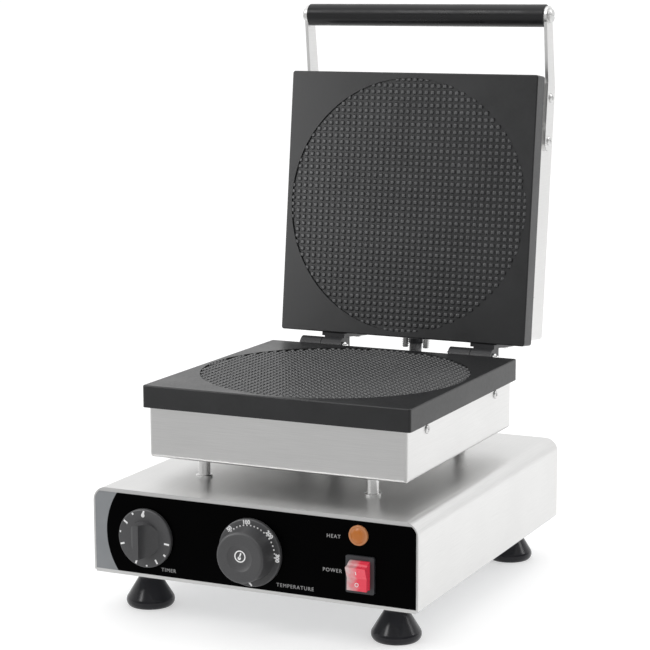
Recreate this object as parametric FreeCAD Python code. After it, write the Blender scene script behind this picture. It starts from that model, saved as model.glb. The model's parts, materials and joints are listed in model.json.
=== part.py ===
import FreeCAD, Part
import math
import os

from FreeCAD import Placement, Rotation, Vector as V

# Waffle cone maker: a box housing on four feet with its controls in front, a heated lower plate
# in a casing that stands on four posts, and a heated lid that hinges at the rear edge of the plate.
# Millimetres. Everything is drawn with X across, Z up and Y running back from the housing's
# front face, with the lid shut. The lid is then swung open to its stop, and all of it is moved
# so that the origin is on the floor, below the middle of the whole object.

# Housing
BASE_W = 300.0
BASE_D = 338.0
BASE_H = 74.5
FOOT_H = 35.0
SHEET = 1.5              # stainless sheet of the housing
COVER_BEND_R = 12.0      # outer radius of the cover's two long bends
COVER_FLANGE = 14.0      # inward flange along the bottom of each side
PAN_RIM = 12.0           # folded rim of the front and rear panels
VENT_SLOT = (3.0, 26.0)
VENT_PITCH = 9.0
VENT_COUNT = 9

# Feet
FOOT_NECK_R = 9.8
FOOT_NECK_H = 10.0       # straight neck at its top
FOOT_BOTTOM_R = 21.0
FOOT_WIDEST = 5.0        # height of its widest ring
FOOT_UNDERCUT = 2.4      # its rounded rim draws in to the floor
FOOT_IN_X = 34.0         # foot axis to the housing's side
FOOT_IN_Y = 35.5         # foot axis to the housing's front or rear face
FOOT_RECESS_R = 8.0
FOOT_RECESS_H = 12.0
M6_R = 3.0
M6_HEAD_R = 5.5
M6_HEAD_H = 4.0
M6_NUT_H = 5.0

# Control overlay
OVERLAY_T = 0.5
LIP_TOP = 2.0            # bare steel above the overlay, inside the cover
LIP_BOTTOM = 1.6
LIP_SIDE = 0.4
OVERLAY_ARC_R = 60.0     # curved left edge of the black field
OVERLAY_ARC_X = 13.0     # from the housing's left side to the arc's furthest point

# Controls: how far their middles stand in from the housing's side, and above its mid-height
TIMER_IN = 52.0
TIMER_UP = -2.1
THERMOSTAT_UP = -3.05
THERMOSTAT_ASIDE = 1.2   # right of the housing's middle
LAMP_IN = 51.5
LAMP_UP = 22.15
ROCKER_IN = 49.6
ROCKER_UP = -10.05
KNOB_GAP = 0.6           # skirt to overlay
SHAFT_R = 3.0
SHAFT_CLEARANCE = 0.05
SHAFT_FLAT = 0.8
SHAFT_BURIED = 22.0      # length of shaft behind the front panel
BUSH_R = 5.0
SKIRT_T = 3.6
TIMER_SKIRT_R = 25.4
TIMER_GRIP_R = 14.9
TIMER_GRIP_H = 15.0
TIMER_RIDGE = 2.6        # half width of the grip's ridge
THERMO_SKIRT_R = 28.8
THERMO_GRIP_R = 21.6
THERMO_GRIP_TAPER = 1.4
THERMO_GRIP_H = 17.6
THERMO_DISH_R = 11.5
THERMO_DISH = 1.6
TIMER_BODY = (52.0, 34.0, 46.0)
THERMOSTAT_BODY = (40.0, 32.0, 44.0)
BODY_CORNER_R = 3.0
TAB = (6.0, 8.0, 0.8)    # terminal tab: width, length, thickness
CONTROL_SCREW_GAP = 28.0
M3_R = 1.5
M3_HEAD_R = 2.7
M3_HEAD_H = 1.2
M3_L = 9.0
LENS_R = 8.4
LENS_H = 4.4
LAMP_BARREL_R = 6.0
LAMP_BARREL_L = 24.0
BEZEL = (25.0, 31.0)
BEZEL_T = 2.6
BEZEL_R = 1.5
SWITCH_BODY = (21.8, 27.8)
SWITCH_DEPTH = 22.0
PADDLE_HALF_W = 8.7
PADDLE_R = 11.8          # swing radius of the paddle's two ends
PADDLE_PIVOT = 1.0       # pivot in front of the panel's face
PADDLE_CLEARANCE = 0.3
PADDLE_FACET = 12.0      # slope of each half of the paddle's face, degrees
PADDLE_TILT = 10.0       # from level to either stop, degrees
PADDLE_FACE = 9.2        # middle of the paddle's face in front of the panel
TRUNNION_R = 1.2

# Posts between housing and lower casing
POST_H = 18.5
POST_R = 5.4
POST_COLLAR_R = 7.2
POST_COLLAR_H = 2.4
POST_IN_X = 41.0         # post axis to the casing's side
POST_IN_Y = 23.0         # post axis to the casing's front or rear
SLEEVE_R = 8.0
SLEEVE_BORE_R = 6.2
SLEEVE_OVER = 5.0        # sleeve past the sheet at either end

# Casings and plates
CASING_W = 242.0
CASING_D = 242.0
CASING_H = 44.0
CASING_SHEET = 1.0
CASING_BEND_R = 3.0
CASING_SETBACK = 46.0    # housing front to casing front
PLATE_OVERHANG = 4.0
PLATE_T = 19.5
PLATE_CORNER_R = 2.4
PLATE_EDGE_R = 1.2
FIELD_MARGIN = 5.0       # round baking field to the plate's nearest edge
FIELD_DEPTH = 1.6
LAND_H = 8.0             # plate's rim inside the casing's mouth
LAND_T = 14.0
POCKET_DEPTH = 8.0       # element pocket in the plate's underside
CASING_SCREW_END = 41.0  # screw to the casing's front or rear
CASING_SCREW_IN = 6.0    # screw to the casing's mouth
M4_R = 2.0
M4_HEAD_R = 3.8
M4_HEAD_H = 1.8
M4_SHORT = 7.0
M4_MEDIUM = 10.0
M4_LONG = 15.0

# Heating
ELEMENT_R = 4.0
ELEMENT_IN_X = 22.0      # outer legs of the element to the pocket's side walls
ELEMENT_IN_Y = 10.0      # ends of the legs to the pocket's other walls
ELEMENT_MIDDLE = 12.0    # the middle bend falls short of the legs' ends
ELEMENT_PIN = (1.5, 7.0) # radius, length
CLAMP_T = 1.5
CLAMP_IN = 3.0           # clamp plate to pocket wall
CLAMP_BOSS_R = 6.0
CLAMP_SCREW_END = 40.0   # clamp screw to the pocket's front or rear wall
INSULATION_UP = 10.0     # room under the blanket, for the capillary and the bolts' heads
INSULATION_GAP = 0.7     # blanket to the clamp's screw heads
INSULATION_IN = 8.0
BULB_R = 3.0
BULB_L = 90.0
CAPILLARY_R = 1.0
CAPILLARY_HOLE_R = 3.5
CAPILLARY_BEND_R = 4.0
CAPILLARY_DUCT = 8.0     # capillary above the lower casing's bottom

# Hinges and lid
CLOSED_GAP = 0.5         # between the two plates with the lid shut
LID_SWING = 96.7
HINGE_BELOW = 4.3        # lower baking face to hinge axis
HINGE_IN = 44.5          # hinge's middle to the casing's side
KNUCKLE_R = 8.5
LOWER_KNUCKLE_W = 21.5
UPPER_KNUCKLE_W = 20.5
KNUCKLE_GAP = 0.25       # from the hinge's middle to each knuckle
LEAF_T = 3.6
LEAF_CLEARANCE = 0.8     # knuckles to the leaves' rear faces
LEAF_H = 26.0            # leaf on the casing's rear wall
LEAF_IN = 4.0            # leaf to the casing's mouth
LEAF_SCREW_SPREAD = 18.0
UPPER_LEAF_W = 26.0
UPPER_LEAF_LIP = 2.0     # upper leaf over the plate's rear edge, short of the baking face
PIN_R = 3.0
PIN_CLEARANCE = 0.05
PIN_OVER = 4.2
PIN_HEAD_R = 4.4
PIN_HEAD_H = 3.0
CLIP_R = 4.8
CLIP_T = 1.2
STOP_GAP = 0.3
STOP_CLEARANCE = 1.5     # knuckles to the stop heel
STOP_T = 7.0
HEEL_T = 6.5
HEEL_BELOW = 2.5         # heel's web under the knuckles
HEEL_IN = 1.0            # heel narrower than the lid's knuckle, each side

# Handle
ARM_T = 3.0
ARM_W = 19.0
ARM_NECK_W = 15.6
ARM_BOSS_R = 9.0
ARM_LOW_IN = 58.5        # lower arm screw to the lid's free edge
ARM_HIGH_IN = 18.5
ARM_BEND_IN = 4.0
GRIP_OUT = 56.4          # grip's axis beyond the lid's free edge
GRIP_BEHIND = 26.0       # from the lid's baking face to the grip's axis
GRIP_R = 10.5
GRIP_END_R = 0.8
GRIP_ROD_R = 5.0
GRIP_BOLT_R = 3.0
GRIP_BOLT_L = 16.0
BOLT_HEAD_R = 6.6
BOLT_HEAD_H = 3.4
BOLT_SLOT = (1.4, 1.2)

# Lid lead: flexible sleeve with the lid's wires
LEAD_R = 6.0
LEAD_END_RUN = 14.0
LEAD_INSIDE = 10.0       # lead inside the lower casing
LEAD_UNDER = 14.0        # lead's axis below the plate's land inside the casing
GROMMET_WALL = 2.3
GROMMET_FLANGE = 1.8     # flange proud of the grommet's neck
GROMMET_FLANGE_T = 2.0
CLAMP_TUBE_WALL = 0.9    # outside the lead
CLAMP_BITE = 1.0         # bore smaller than the lead
CLAMP_TUBE_L = 11.0
STUD_R = 3.3
STUD_CORE_R = 2.7
STUD_L = 15.5
STUD_GAP = 0.6           # stud to the clamp's tube
STUD_RINGS = 7
CLAMP_FOOT_EDGE = 3.3    # past the studs
CLAMP_FOOT_H = 15.0
CLAMP_FOOT_T = 2.5

# Supply inlet and terminals
GLAND_IN = 46.0          # gland's axis to the housing's side
GLAND_UP = 26.0          # gland's axis above the housing's bottom
GLAND_BORE_R = 4.5
GLAND_HEX = (24.0, 5.0)  # across flats, thickness
GLAND_THREAD = (9.8, 14.0)
GLAND_DOME = (10.8, 16.0)
TERMINALS = (64.0, 22.0, 18.0)
TERMINAL_COUNT = 6
TERMINAL_TO_RIM = 16.0   # clear of the rear panel's rim
TERMINAL_MIDDLE = -52.0
WIRE_HOLE_R = 2.2
CLAMP_HOLE_R = 2.0
CLAMP_HOLE_AT = 5.0      # clamp screw holes either side of the block's middle

# Levels and planes that follow
BASE_BOTTOM = FOOT_H
BASE_TOP = FOOT_H + BASE_H
CASING_BOTTOM = BASE_TOP + POST_H
CASING_TOP = CASING_BOTTOM + CASING_H
FACE_Z = CASING_TOP + PLATE_T
LID_FACE_Z = FACE_Z + CLOSED_GAP
CENTRE_Y = CASING_SETBACK + CASING_D / 2
CASING_REAR = CASING_SETBACK + CASING_D
PLATE_REAR = CASING_REAR + PLATE_OVERHANG
HINGE_X = CASING_W / 2 - HINGE_IN
HINGE_BEHIND = LEAF_T + LEAF_CLEARANCE + KNUCKLE_R    # plate's rear edge to the hinge axis
STOP_REACH = KNUCKLE_R + STOP_CLEARANCE + STOP_T      # hinge axis to the heel's rear face
HINGE_Y = PLATE_REAR + HINGE_BEHIND
HINGE_Z = FACE_Z - HINGE_BELOW
LID_WALL_MID = PLATE_T + CASING_H / 2     # lid's baking face to the middle of its casing's walls
CLAMP_TUBE_R = LEAD_R + CLAMP_TUBE_WALL
STUD_AT = CLAMP_TUBE_R + STUD_GAP + STUD_R
PLATE_DEPTH = CASING_D + 2 * PLATE_OVERHANG
ARM_LOW = PLATE_DEPTH - ARM_LOW_IN
ARM_HIGH = PLATE_DEPTH - ARM_HIGH_IN
ARM_BEND = PLATE_DEPTH - ARM_BEND_IN
GRIP_ALONG = PLATE_DEPTH + GRIP_OUT
BASE_MIDDLE = BASE_H / 2
TIMER_AT = (-BASE_W / 2 + TIMER_IN, BASE_MIDDLE + TIMER_UP)
THERMOSTAT_AT = (THERMOSTAT_ASIDE, BASE_MIDDLE + THERMOSTAT_UP)
LAMP_AT = (BASE_W / 2 - LAMP_IN, BASE_MIDDLE + LAMP_UP)
ROCKER_AT = (BASE_W / 2 - ROCKER_IN, BASE_MIDDLE + ROCKER_UP)
GLAND_AT = (-BASE_W / 2 + GLAND_IN, GLAND_UP)
OVERLAY_FACE = -OVERLAY_T
KNOB_BACK = OVERLAY_FACE - KNOB_GAP
SWING = math.radians(LID_SWING)
KNOB_FRONT = KNOB_BACK - SKIRT_T - THERMO_GRIP_H

X_AXIS = V(1, 0, 0)
Y_AXIS = V(0, 1, 0)
Z_AXIS = V(0, 0, 1)


# Shape helpers
def box(x, y, z):
    """A box between the low and high values given for each axis."""
    return Part.makeBox(x[1] - x[0], y[1] - y[0], z[1] - z[0], V(x[0], y[0], z[0]))


def slab(centre, size, z):
    """A box of size (X, Y) about centre (X, Y), between the two heights in z."""
    return box(
        (centre[0] - size[0] / 2, centre[0] + size[0] / 2),
        (centre[1] - size[1] / 2, centre[1] + size[1] / 2),
        z,
    )


def rod(radius, start, axis, length):
    return Part.makeCylinder(radius, length, V(*start), axis)


def tube(outer, inner, start, axis, length):
    return rod(outer, start, axis, length).cut(rod(inner, start, axis, length))


def hexagon(across, start, axis, length):
    """A hexagonal prism, across its flats, from start along axis."""
    corner = across / math.sqrt(3)
    points = [V(corner * math.cos(a), corner * math.sin(a), 0) for a in
              (math.radians(60 * i) for i in range(7))]
    prism = Part.Face(Part.makePolygon(points)).extrude(V(0, 0, length))
    prism.Placement = Placement(V(*start), Rotation(Z_AXIS, axis))
    return prism


def outline(start, *steps):
    """A closed face. Each step is the next point, or a pair: a point on an arc and its end."""
    edges = []
    first = here = V(*start)
    for step in steps:
        if isinstance(step[0], tuple):
            end = V(*step[1])
            edges.append(Part.Arc(here, V(*step[0]), end).toShape())
        else:
            end = V(*step)
            edges.append(Part.LineSegment(here, end).toShape())
        here = end
    if here.distanceToPoint(first) > 1e-6:
        edges.append(Part.LineSegment(here, first).toShape())
    return Part.Face(Part.Wire(edges))


def turned(face, axis, at):
    """The face turned once about an axis through the origin, then moved to at."""
    solid = face.revolve(V(0, 0, 0), axis, 360)
    solid.translate(V(*at))
    return solid


def rounded(shape, radius, picks):
    """The shape with a radius on each edge that picks says yes to."""
    edges = [e for e in shape.Edges if picks(e)]
    return shape.makeFillet(radius, edges)


def runs_along(edge, axis):
    ends = [v.Point for v in edge.Vertexes]
    return len(ends) == 2 and abs((ends[1] - ends[0]).normalize().dot(axis)) > 0.999


def level(edge, z):
    box_of = edge.BoundBox
    return abs(box_of.ZMin - z) < 1e-4 and abs(box_of.ZMax - z) < 1e-4


def arch(half_width, z, radius, y):
    """A prism along Y with its two top edges rounded."""
    body = box((-half_width, half_width), y, z)
    return rounded(body, radius, lambda e: runs_along(e, Y_AXIS) and level(e, z[1]))


def joined(shapes):
    """One solid from shapes that touch or overlap."""
    whole = shapes[0].fuse(shapes[1:]).removeSplitter()
    return whole.Solids[0] if len(whole.Solids) == 1 else whole


def group(shapes):
    """Separate solids kept together in one sub-part."""
    return Part.makeCompound([s for shape in shapes for s in shape.Solids])


def less(shape, *tools):
    """The shape with every tool cut out of it."""
    cut = shape.cut([solid for tool in tools for solid in tool.Solids])
    return cut.Solids[0] if len(cut.Solids) == 1 else cut


def bent_path(points, radii):
    """Straight runs through points, joined at each inner point by a tangent arc of that radius."""
    edges = []
    here = points[0]
    for before, at, after, radius in zip(points, points[1:], points[2:], radii):
        into = (at - before).normalize()
        out = (after - at).normalize()
        turn = into.getAngle(out)
        trim = radius * math.tan(turn / 2)
        start = at - into * trim
        end = at + out * trim
        inward = (out - into).normalize()
        centre = at + inward * (radius / math.cos(turn / 2))
        middle = centre - inward * radius
        if start.distanceToPoint(here) > 1e-5:
            edges.append(Part.LineSegment(here, start).toShape())
        edges.append(Part.Arc(start, middle, end).toShape())
        here = end
    edges.append(Part.LineSegment(here, points[-1]).toShape())
    return Part.Wire(edges)


def easy_radii(points):
    """The largest arcs that the runs on either side of each inner point leave room for."""
    radii = []
    for before, at, after in zip(points, points[1:], points[2:]):
        shorter = min(at.distanceToPoint(before), after.distanceToPoint(at))
        turn = (at - before).getAngle(after - at)
        radii.append(0.45 * shorter / math.tan(turn / 2))
    return radii


def swept(name, radius, points, radii):
    """A round bar along a bent path, with its volume compared with section times length."""
    path = bent_path(points, radii)
    section = Part.Wire(Part.makeCircle(radius, points[0], points[1] - points[0]))
    bar = path.makePipeShell([section], True, False)
    expected = math.pi * radius ** 2 * path.Length
    print(f"{name}: length {path.Length:.1f}, volume ratio {bar.Volume / expected:.4f}, "
          f"radii {', '.join(f'{r:.1f}' for r in radii)}")
    return bar


# Placing things on the shut lid, and opening it
def lid_point(along, behind):
    """Y and Z on the shut lid: along it from its hinge edge, and behind its baking face."""
    return PLATE_REAR - along, LID_FACE_Z + behind


def opened(shape):
    """The shut lid's shape swung open about the hinge axis, back to its stop."""
    moved = shape.copy()
    moved.rotate(V(0, HINGE_Y, HINGE_Z), X_AXIS, -LID_SWING)
    return moved


def opened_point(y, z):
    """Where a point of the shut lid goes when the lid is opened."""
    dy = y - HINGE_Y
    dz = z - HINGE_Z
    return (HINGE_Y + dy * math.cos(SWING) + dz * math.sin(SWING),
            HINGE_Z - dy * math.sin(SWING) + dz * math.cos(SWING))


def above(shape):
    """A shape drawn for the lower plate, turned over to face it from the lid."""
    moved = shape.copy()
    moved.rotate(V(0, CENTRE_Y, FACE_Z + CLOSED_GAP / 2), Y_AXIS, 180)
    return moved


def lid_rear_y():
    """How far back the open lid reaches: the rear corner of its casing."""
    return opened_point(CASING_SETBACK, LID_FACE_Z + PLATE_T + CASING_H)[0]


# Fasteners
def screw(radius, head_radius, head_height, head_at, axis, length):
    """A domed screw: head_at is under its head, and axis is the way its shank goes."""
    shank = rod(radius, head_at, axis, length)
    top = V(*head_at) - axis * head_height
    head = Part.makeCylinder(head_radius, head_height, top, axis)
    crown = [e for e in head.Edges if e.BoundBox.Center.distanceToPoint(top) < 1e-4]
    return joined([shank, head.makeFillet(min(head_height, head_radius) * 0.6, crown[:1])])


# Housing
def panel_prism(inset, y):
    """The front's shape inside the cover, inset all round."""
    return arch(BASE_W / 2 - SHEET - inset, (BASE_BOTTOM + 2 * SHEET + inset,
                BASE_TOP - SHEET - inset), COVER_BEND_R - SHEET - inset, y)


def foot_places():
    x = BASE_W / 2 - FOOT_IN_X
    rows = (("front", FOOT_IN_Y), ("rear", BASE_D - FOOT_IN_Y))
    return {f"{row}_{side}": (sign * x, y) for row, y in rows
            for side, sign in (("left", -1), ("right", 1))}


def post_places():
    x = CASING_W / 2 - POST_IN_X
    y = CASING_D / 2 - POST_IN_Y
    return [(sx * x, CENTRE_Y + sy * y) for sy in (-1, 1) for sx in (-1, 1)]


def on_front(at, y):
    return at[0], y, BASE_BOTTOM + at[1]


def control_holes(y, depth):
    """What the front panel and overlay leave open for the controls."""
    holes = [rod(BUSH_R, on_front(at, y), Y_AXIS, depth) for at in (TIMER_AT, THERMOSTAT_AT)]
    holes.append(rod(LAMP_BARREL_R, on_front(LAMP_AT, y), Y_AXIS, depth))
    x, z = ROCKER_AT[0], BASE_BOTTOM + ROCKER_AT[1]
    holes.append(box((x - SWITCH_BODY[0] / 2, x + SWITCH_BODY[0] / 2), (y, y + depth),
                     (z - SWITCH_BODY[1] / 2, z + SWITCH_BODY[1] / 2)))
    return holes


def control_screws():
    return group([
        screw(M3_R, M3_HEAD_R, M3_HEAD_H,
              (at[0] + side * CONTROL_SCREW_GAP / 2, OVERLAY_FACE + M3_HEAD_H,
               BASE_BOTTOM + at[1]), Y_AXIS, M3_L)
        for at in (TIMER_AT, THERMOSTAT_AT) for side in (-1, 1)
    ])


def post_bolts():
    bolts = []
    for x, y in post_places():
        bolts.append(joined([
            rod(M6_R, (x, y, BASE_TOP - SHEET - 2 * M6_NUT_H), Z_AXIS,
                POST_H + SHEET + CASING_SHEET + 2 * M6_NUT_H),
            hexagon(2 * M6_HEAD_R - 1, (x, y, CASING_BOTTOM + CASING_SHEET), Z_AXIS, M6_HEAD_H),
        ]))
        nut = hexagon(2 * M6_HEAD_R - 1, (x, y, BASE_TOP - SHEET - M6_NUT_H), Z_AXIS, M6_NUT_H)
        bolts.append(less(nut, bolts[-1]))
    return group(bolts)


def foot_screws():
    screws = []
    for x, y in foot_places().values():
        bolt = joined([
            rod(M6_R, (x, y, FOOT_RECESS_H), Z_AXIS,
                FOOT_H - FOOT_RECESS_H + SHEET + M6_NUT_H + 2),
            rod(M6_HEAD_R, (x, y, FOOT_RECESS_H - M6_HEAD_H), Z_AXIS, M6_HEAD_H),
        ])
        nut = hexagon(2 * M6_HEAD_R - 1, (x, y, BASE_BOTTOM + SHEET), Z_AXIS, M6_NUT_H)
        screws += [bolt, less(nut, bolt)]
    return group(screws)


def bottom_screws():
    x = BASE_W / 2 - COVER_FLANGE / 2
    return group([
        screw(M4_R, M4_HEAD_R, M4_HEAD_H, (side * x, BASE_D * share, BASE_BOTTOM), Z_AXIS, M4_SHORT)
        for side in (-1, 1) for share in (0.25, 0.5, 0.75)
    ])


def base_cover():
    half = BASE_W / 2
    outside = arch(half, (BASE_BOTTOM + SHEET, BASE_TOP), COVER_BEND_R, (0, BASE_D))
    inside = arch(half - SHEET, (BASE_BOTTOM + 2 * SHEET, BASE_TOP - SHEET),
                  COVER_BEND_R - SHEET, (-1, BASE_D + 1))
    mouth = box((-half + COVER_FLANGE, half - COVER_FLANGE), (-1, BASE_D + 1),
                (BASE_BOTTOM, BASE_BOTTOM + 3 * SHEET))
    return less(outside, inside, mouth, post_bolts(), bottom_screws(), sleeve_hole(BASE_TOP))


def sleeve_hole(z):
    return rod(SLEEVE_R, (0, CENTRE_Y, z - 10), Z_AXIS, 20)


def pan(y_face, y_rim):
    """A panel folded back into a rim. Its face runs down over the edge of the bottom plate."""
    inner = y_face + math.copysign(SHEET, y_rim - y_face)
    past = y_rim + math.copysign(1, y_rim - y_face)
    body = panel_prism(0, sorted((y_face, y_rim)))
    sheet = sorted((y_face, inner))
    wide = BASE_W / 2 - SHEET
    narrow = BASE_W / 2 - COVER_FLANGE
    aprons = [box((-wide, wide), sheet, (BASE_BOTTOM, BASE_BOTTOM + SHEET)),
              box((-narrow, narrow), sheet, (BASE_BOTTOM, BASE_BOTTOM + 3 * SHEET))]
    return joined([body.cut(panel_prism(SHEET, sorted((inner, past))))] + aprons)


def front_panel():
    return less(pan(0, PAN_RIM), *control_holes(-1, 2 * SHEET), control_screws())


def rear_panel():
    slots = []
    for i in range(VENT_COUNT):
        x = (i - (VENT_COUNT - 1) / 2) * VENT_PITCH + BASE_W / 5
        z = BASE_BOTTOM + BASE_H / 2
        slots.append(box((x - VENT_SLOT[0] / 2, x + VENT_SLOT[0] / 2),
                         (BASE_D - 2 * SHEET, BASE_D + 1),
                         (z - VENT_SLOT[1] / 2, z + VENT_SLOT[1] / 2)))
    slots.append(rod(GLAND_THREAD[0], on_front(GLAND_AT, BASE_D - 2 * SHEET), Y_AXIS, 3 * SHEET))
    return less(pan(BASE_D, BASE_D - PAN_RIM), *slots)


def bottom_plate():
    plate = box((-BASE_W / 2 + SHEET, BASE_W / 2 - SHEET), (SHEET, BASE_D - SHEET),
                (BASE_BOTTOM, BASE_BOTTOM + SHEET))
    slots = []
    for row in (-1, 1):
        for i in range(VENT_COUNT):
            x = (i - (VENT_COUNT - 1) / 2) * VENT_PITCH
            slots.append(slab((x, CENTRE_Y + row * BASE_D / 8), VENT_SLOT,
                              (BASE_BOTTOM - 1, BASE_BOTTOM + 2 * SHEET)))
    return less(plate, *slots, foot_screws(), bottom_screws())


def overlay_parts():
    """The black field with its curved left edge, and the grey strip beside it."""
    label = panel_prism(0, (OVERLAY_FACE, 0)).common(
        box((-BASE_W / 2 + SHEET + LIP_SIDE, BASE_W / 2 - SHEET - LIP_SIDE),
            (OVERLAY_FACE, 0),
            (BASE_BOTTOM + SHEET + LIP_BOTTOM, BASE_TOP - SHEET - LIP_TOP)))
    arc_centre = -BASE_W / 2 + OVERLAY_ARC_X + OVERLAY_ARC_R
    middle = BASE_BOTTOM + BASE_H / 2
    field = rod(OVERLAY_ARC_R, (arc_centre, OVERLAY_FACE, middle), Y_AXIS, OVERLAY_T).fuse(
        box((arc_centre, BASE_W / 2), (OVERLAY_FACE, 0), (BASE_BOTTOM, BASE_TOP)))
    black = less(label.common(field), *control_holes(-1, 2), control_screws())
    return black, label.cut(field)


def foot(x, y):
    """A conical rubber foot with a rounded rim, hollow below for its screw's head."""
    wide = FOOT_BOTTOM_R
    section = outline(
        (M6_R, 0, FOOT_RECESS_H), (FOOT_RECESS_R, 0, FOOT_RECESS_H), (FOOT_RECESS_R, 0, 0),
        (wide - FOOT_UNDERCUT, 0, 0),
        ((wide - 0.3 * FOOT_UNDERCUT, 0, 0.4 * FOOT_WIDEST), (wide, 0, FOOT_WIDEST)),
        ((wide - 0.2, 0, FOOT_WIDEST + 1.4), (wide - 0.7, 0, FOOT_WIDEST + 2.7)),
        (FOOT_NECK_R, 0, FOOT_H - FOOT_NECK_H), (FOOT_NECK_R, 0, FOOT_H), (M6_R, 0, FOOT_H),
    )
    return turned(section, Z_AXIS, (x, y, 0))


# Controls
def body_behind(at, size, bush_to):
    """A control's body behind the front panel, with its bush through the panel and its bore."""
    x, z = at[0], BASE_BOTTOM + at[1]
    case = box((x - size[0] / 2, x + size[0] / 2), (SHEET, SHEET + size[1]),
               (z - size[2] / 2, z + size[2] / 2))
    case = rounded(case, BODY_CORNER_R, lambda e: runs_along(e, Y_AXIS))
    tabs = [box((x + side * size[0] / 4 - TAB[0] / 2, x + side * size[0] / 4 + TAB[0] / 2),
                (SHEET + size[1], SHEET + size[1] + TAB[1]),
                (z - TAB[2] / 2, z + TAB[2] / 2)) for side in (-1, 1)]
    bush = rod(BUSH_R, (x, bush_to, z), Y_AXIS, SHEET + 1 - bush_to)
    bore = rod(SHAFT_R + SHAFT_CLEARANCE, (x, -5, z), Y_AXIS, 5 + SHAFT_BURIED + 1)
    return less(joined([case, bush] + tabs), bore, control_screws())


def shaft(at, front):
    """A control shaft, flattened where the knob sits on it."""
    x, z = at[0], BASE_BOTTOM + at[1]
    bar = rod(SHAFT_R, (x, front, z), Y_AXIS, SHAFT_BURIED - front)
    flat = box((x - 5, x + 5), (front - 1, KNOB_BACK), (z + SHAFT_R - SHAFT_FLAT, z + 5))
    return less(bar, flat)


def skirt(radius, at):
    section = outline((0, KNOB_BACK, 0), (radius, KNOB_BACK, 0),
                      (radius, KNOB_BACK - SKIRT_T + 1.2, 0),
                      ((radius - 0.4, KNOB_BACK - SKIRT_T + 0.4, 0),
                       (radius - 1.2, KNOB_BACK - SKIRT_T, 0)),
                      (0, KNOB_BACK - SKIRT_T, 0))
    return turned(section, Y_AXIS, on_front(at, 0))


def timer_knob():
    """A round skirt with a scooped grip that rises to an upright ridge."""
    base = KNOB_BACK - SKIRT_T + 0.5
    top = KNOB_BACK - SKIRT_T - TIMER_GRIP_H
    scoop = (TIMER_RIDGE + (TIMER_GRIP_R - TIMER_RIDGE) * 0.32, base - TIMER_GRIP_H * 0.32)
    face = outline((-TIMER_GRIP_R, base, 0),
                   ((-scoop[0], scoop[1], 0), (-TIMER_RIDGE, top, 0)),
                   (TIMER_RIDGE, top, 0),
                   ((scoop[0], scoop[1], 0), (TIMER_GRIP_R, base, 0)))
    ridge = face.extrude(V(0, 0, 2 * TIMER_GRIP_R))
    ridge.translate(V(0, 0, -TIMER_GRIP_R))
    grip = ridge.common(rod(TIMER_GRIP_R, (0, base, 0), -Y_AXIS, TIMER_GRIP_H + 1))
    grip.translate(V(*on_front(TIMER_AT, 0)))
    return less(joined([skirt(TIMER_SKIRT_R, TIMER_AT), grip]), timer_shaft())


def timer_shaft():
    return shaft(TIMER_AT, KNOB_BACK - SKIRT_T - TIMER_GRIP_H * 0.5)


def thermostat_knob():
    """A round skirt with a tall round grip, dished in front."""
    base = KNOB_BACK - SKIRT_T + 0.5
    wide = THERMO_GRIP_R + THERMO_GRIP_TAPER
    section = outline(
        (0, base, 0), (wide, base, 0), (THERMO_GRIP_R, KNOB_FRONT + 2.4, 0),
        ((THERMO_GRIP_R - 0.7, KNOB_FRONT + 0.7, 0), (THERMO_GRIP_R - 2.4, KNOB_FRONT, 0)),
        (THERMO_DISH_R, KNOB_FRONT + 0.3, 0),
        ((THERMO_DISH_R * 0.72, KNOB_FRONT + THERMO_DISH * 0.8, 0),
         (THERMO_DISH_R * 0.45, KNOB_FRONT + THERMO_DISH, 0)),
        (0, KNOB_FRONT + THERMO_DISH, 0))
    grip = turned(section, Y_AXIS, on_front(THERMOSTAT_AT, 0))
    return less(joined([skirt(THERMO_SKIRT_R, THERMOSTAT_AT), grip]), thermostat_shaft())


def thermostat_shaft():
    return shaft(THERMOSTAT_AT, KNOB_BACK - SKIRT_T - THERMO_GRIP_H * 0.5)


def lamp_parts():
    """The lamp's barrel through the panel, and the domed lens that clips on its front."""
    x, y, z = on_front(LAMP_AT, OVERLAY_FACE)
    barrel = joined([rod(LAMP_BARREL_R, (x, y, z), Y_AXIS, LAMP_BARREL_L),
                     tube(LAMP_BARREL_R + 2, LAMP_BARREL_R, (x, SHEET, z), Y_AXIS, 2)])
    section = outline((0, 0, 0), (LENS_R, 0, 0), (LENS_R, -1.4, 0),
                      ((LENS_R - 0.3, -2.1, 0), (LENS_R - 1.1, -2.3, 0)),
                      (LENS_R - 1.9, -2.3, 0),
                      ((LENS_R * 0.45, -LENS_H + 0.4, 0), (LENS_R * 0.1, -LENS_H, 0)),
                      (0, -LENS_H, 0))
    return barrel, turned(section, Y_AXIS, (x, y, z))


def rocker_pivot():
    return on_front(ROCKER_AT, -PADDLE_PIVOT)


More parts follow.
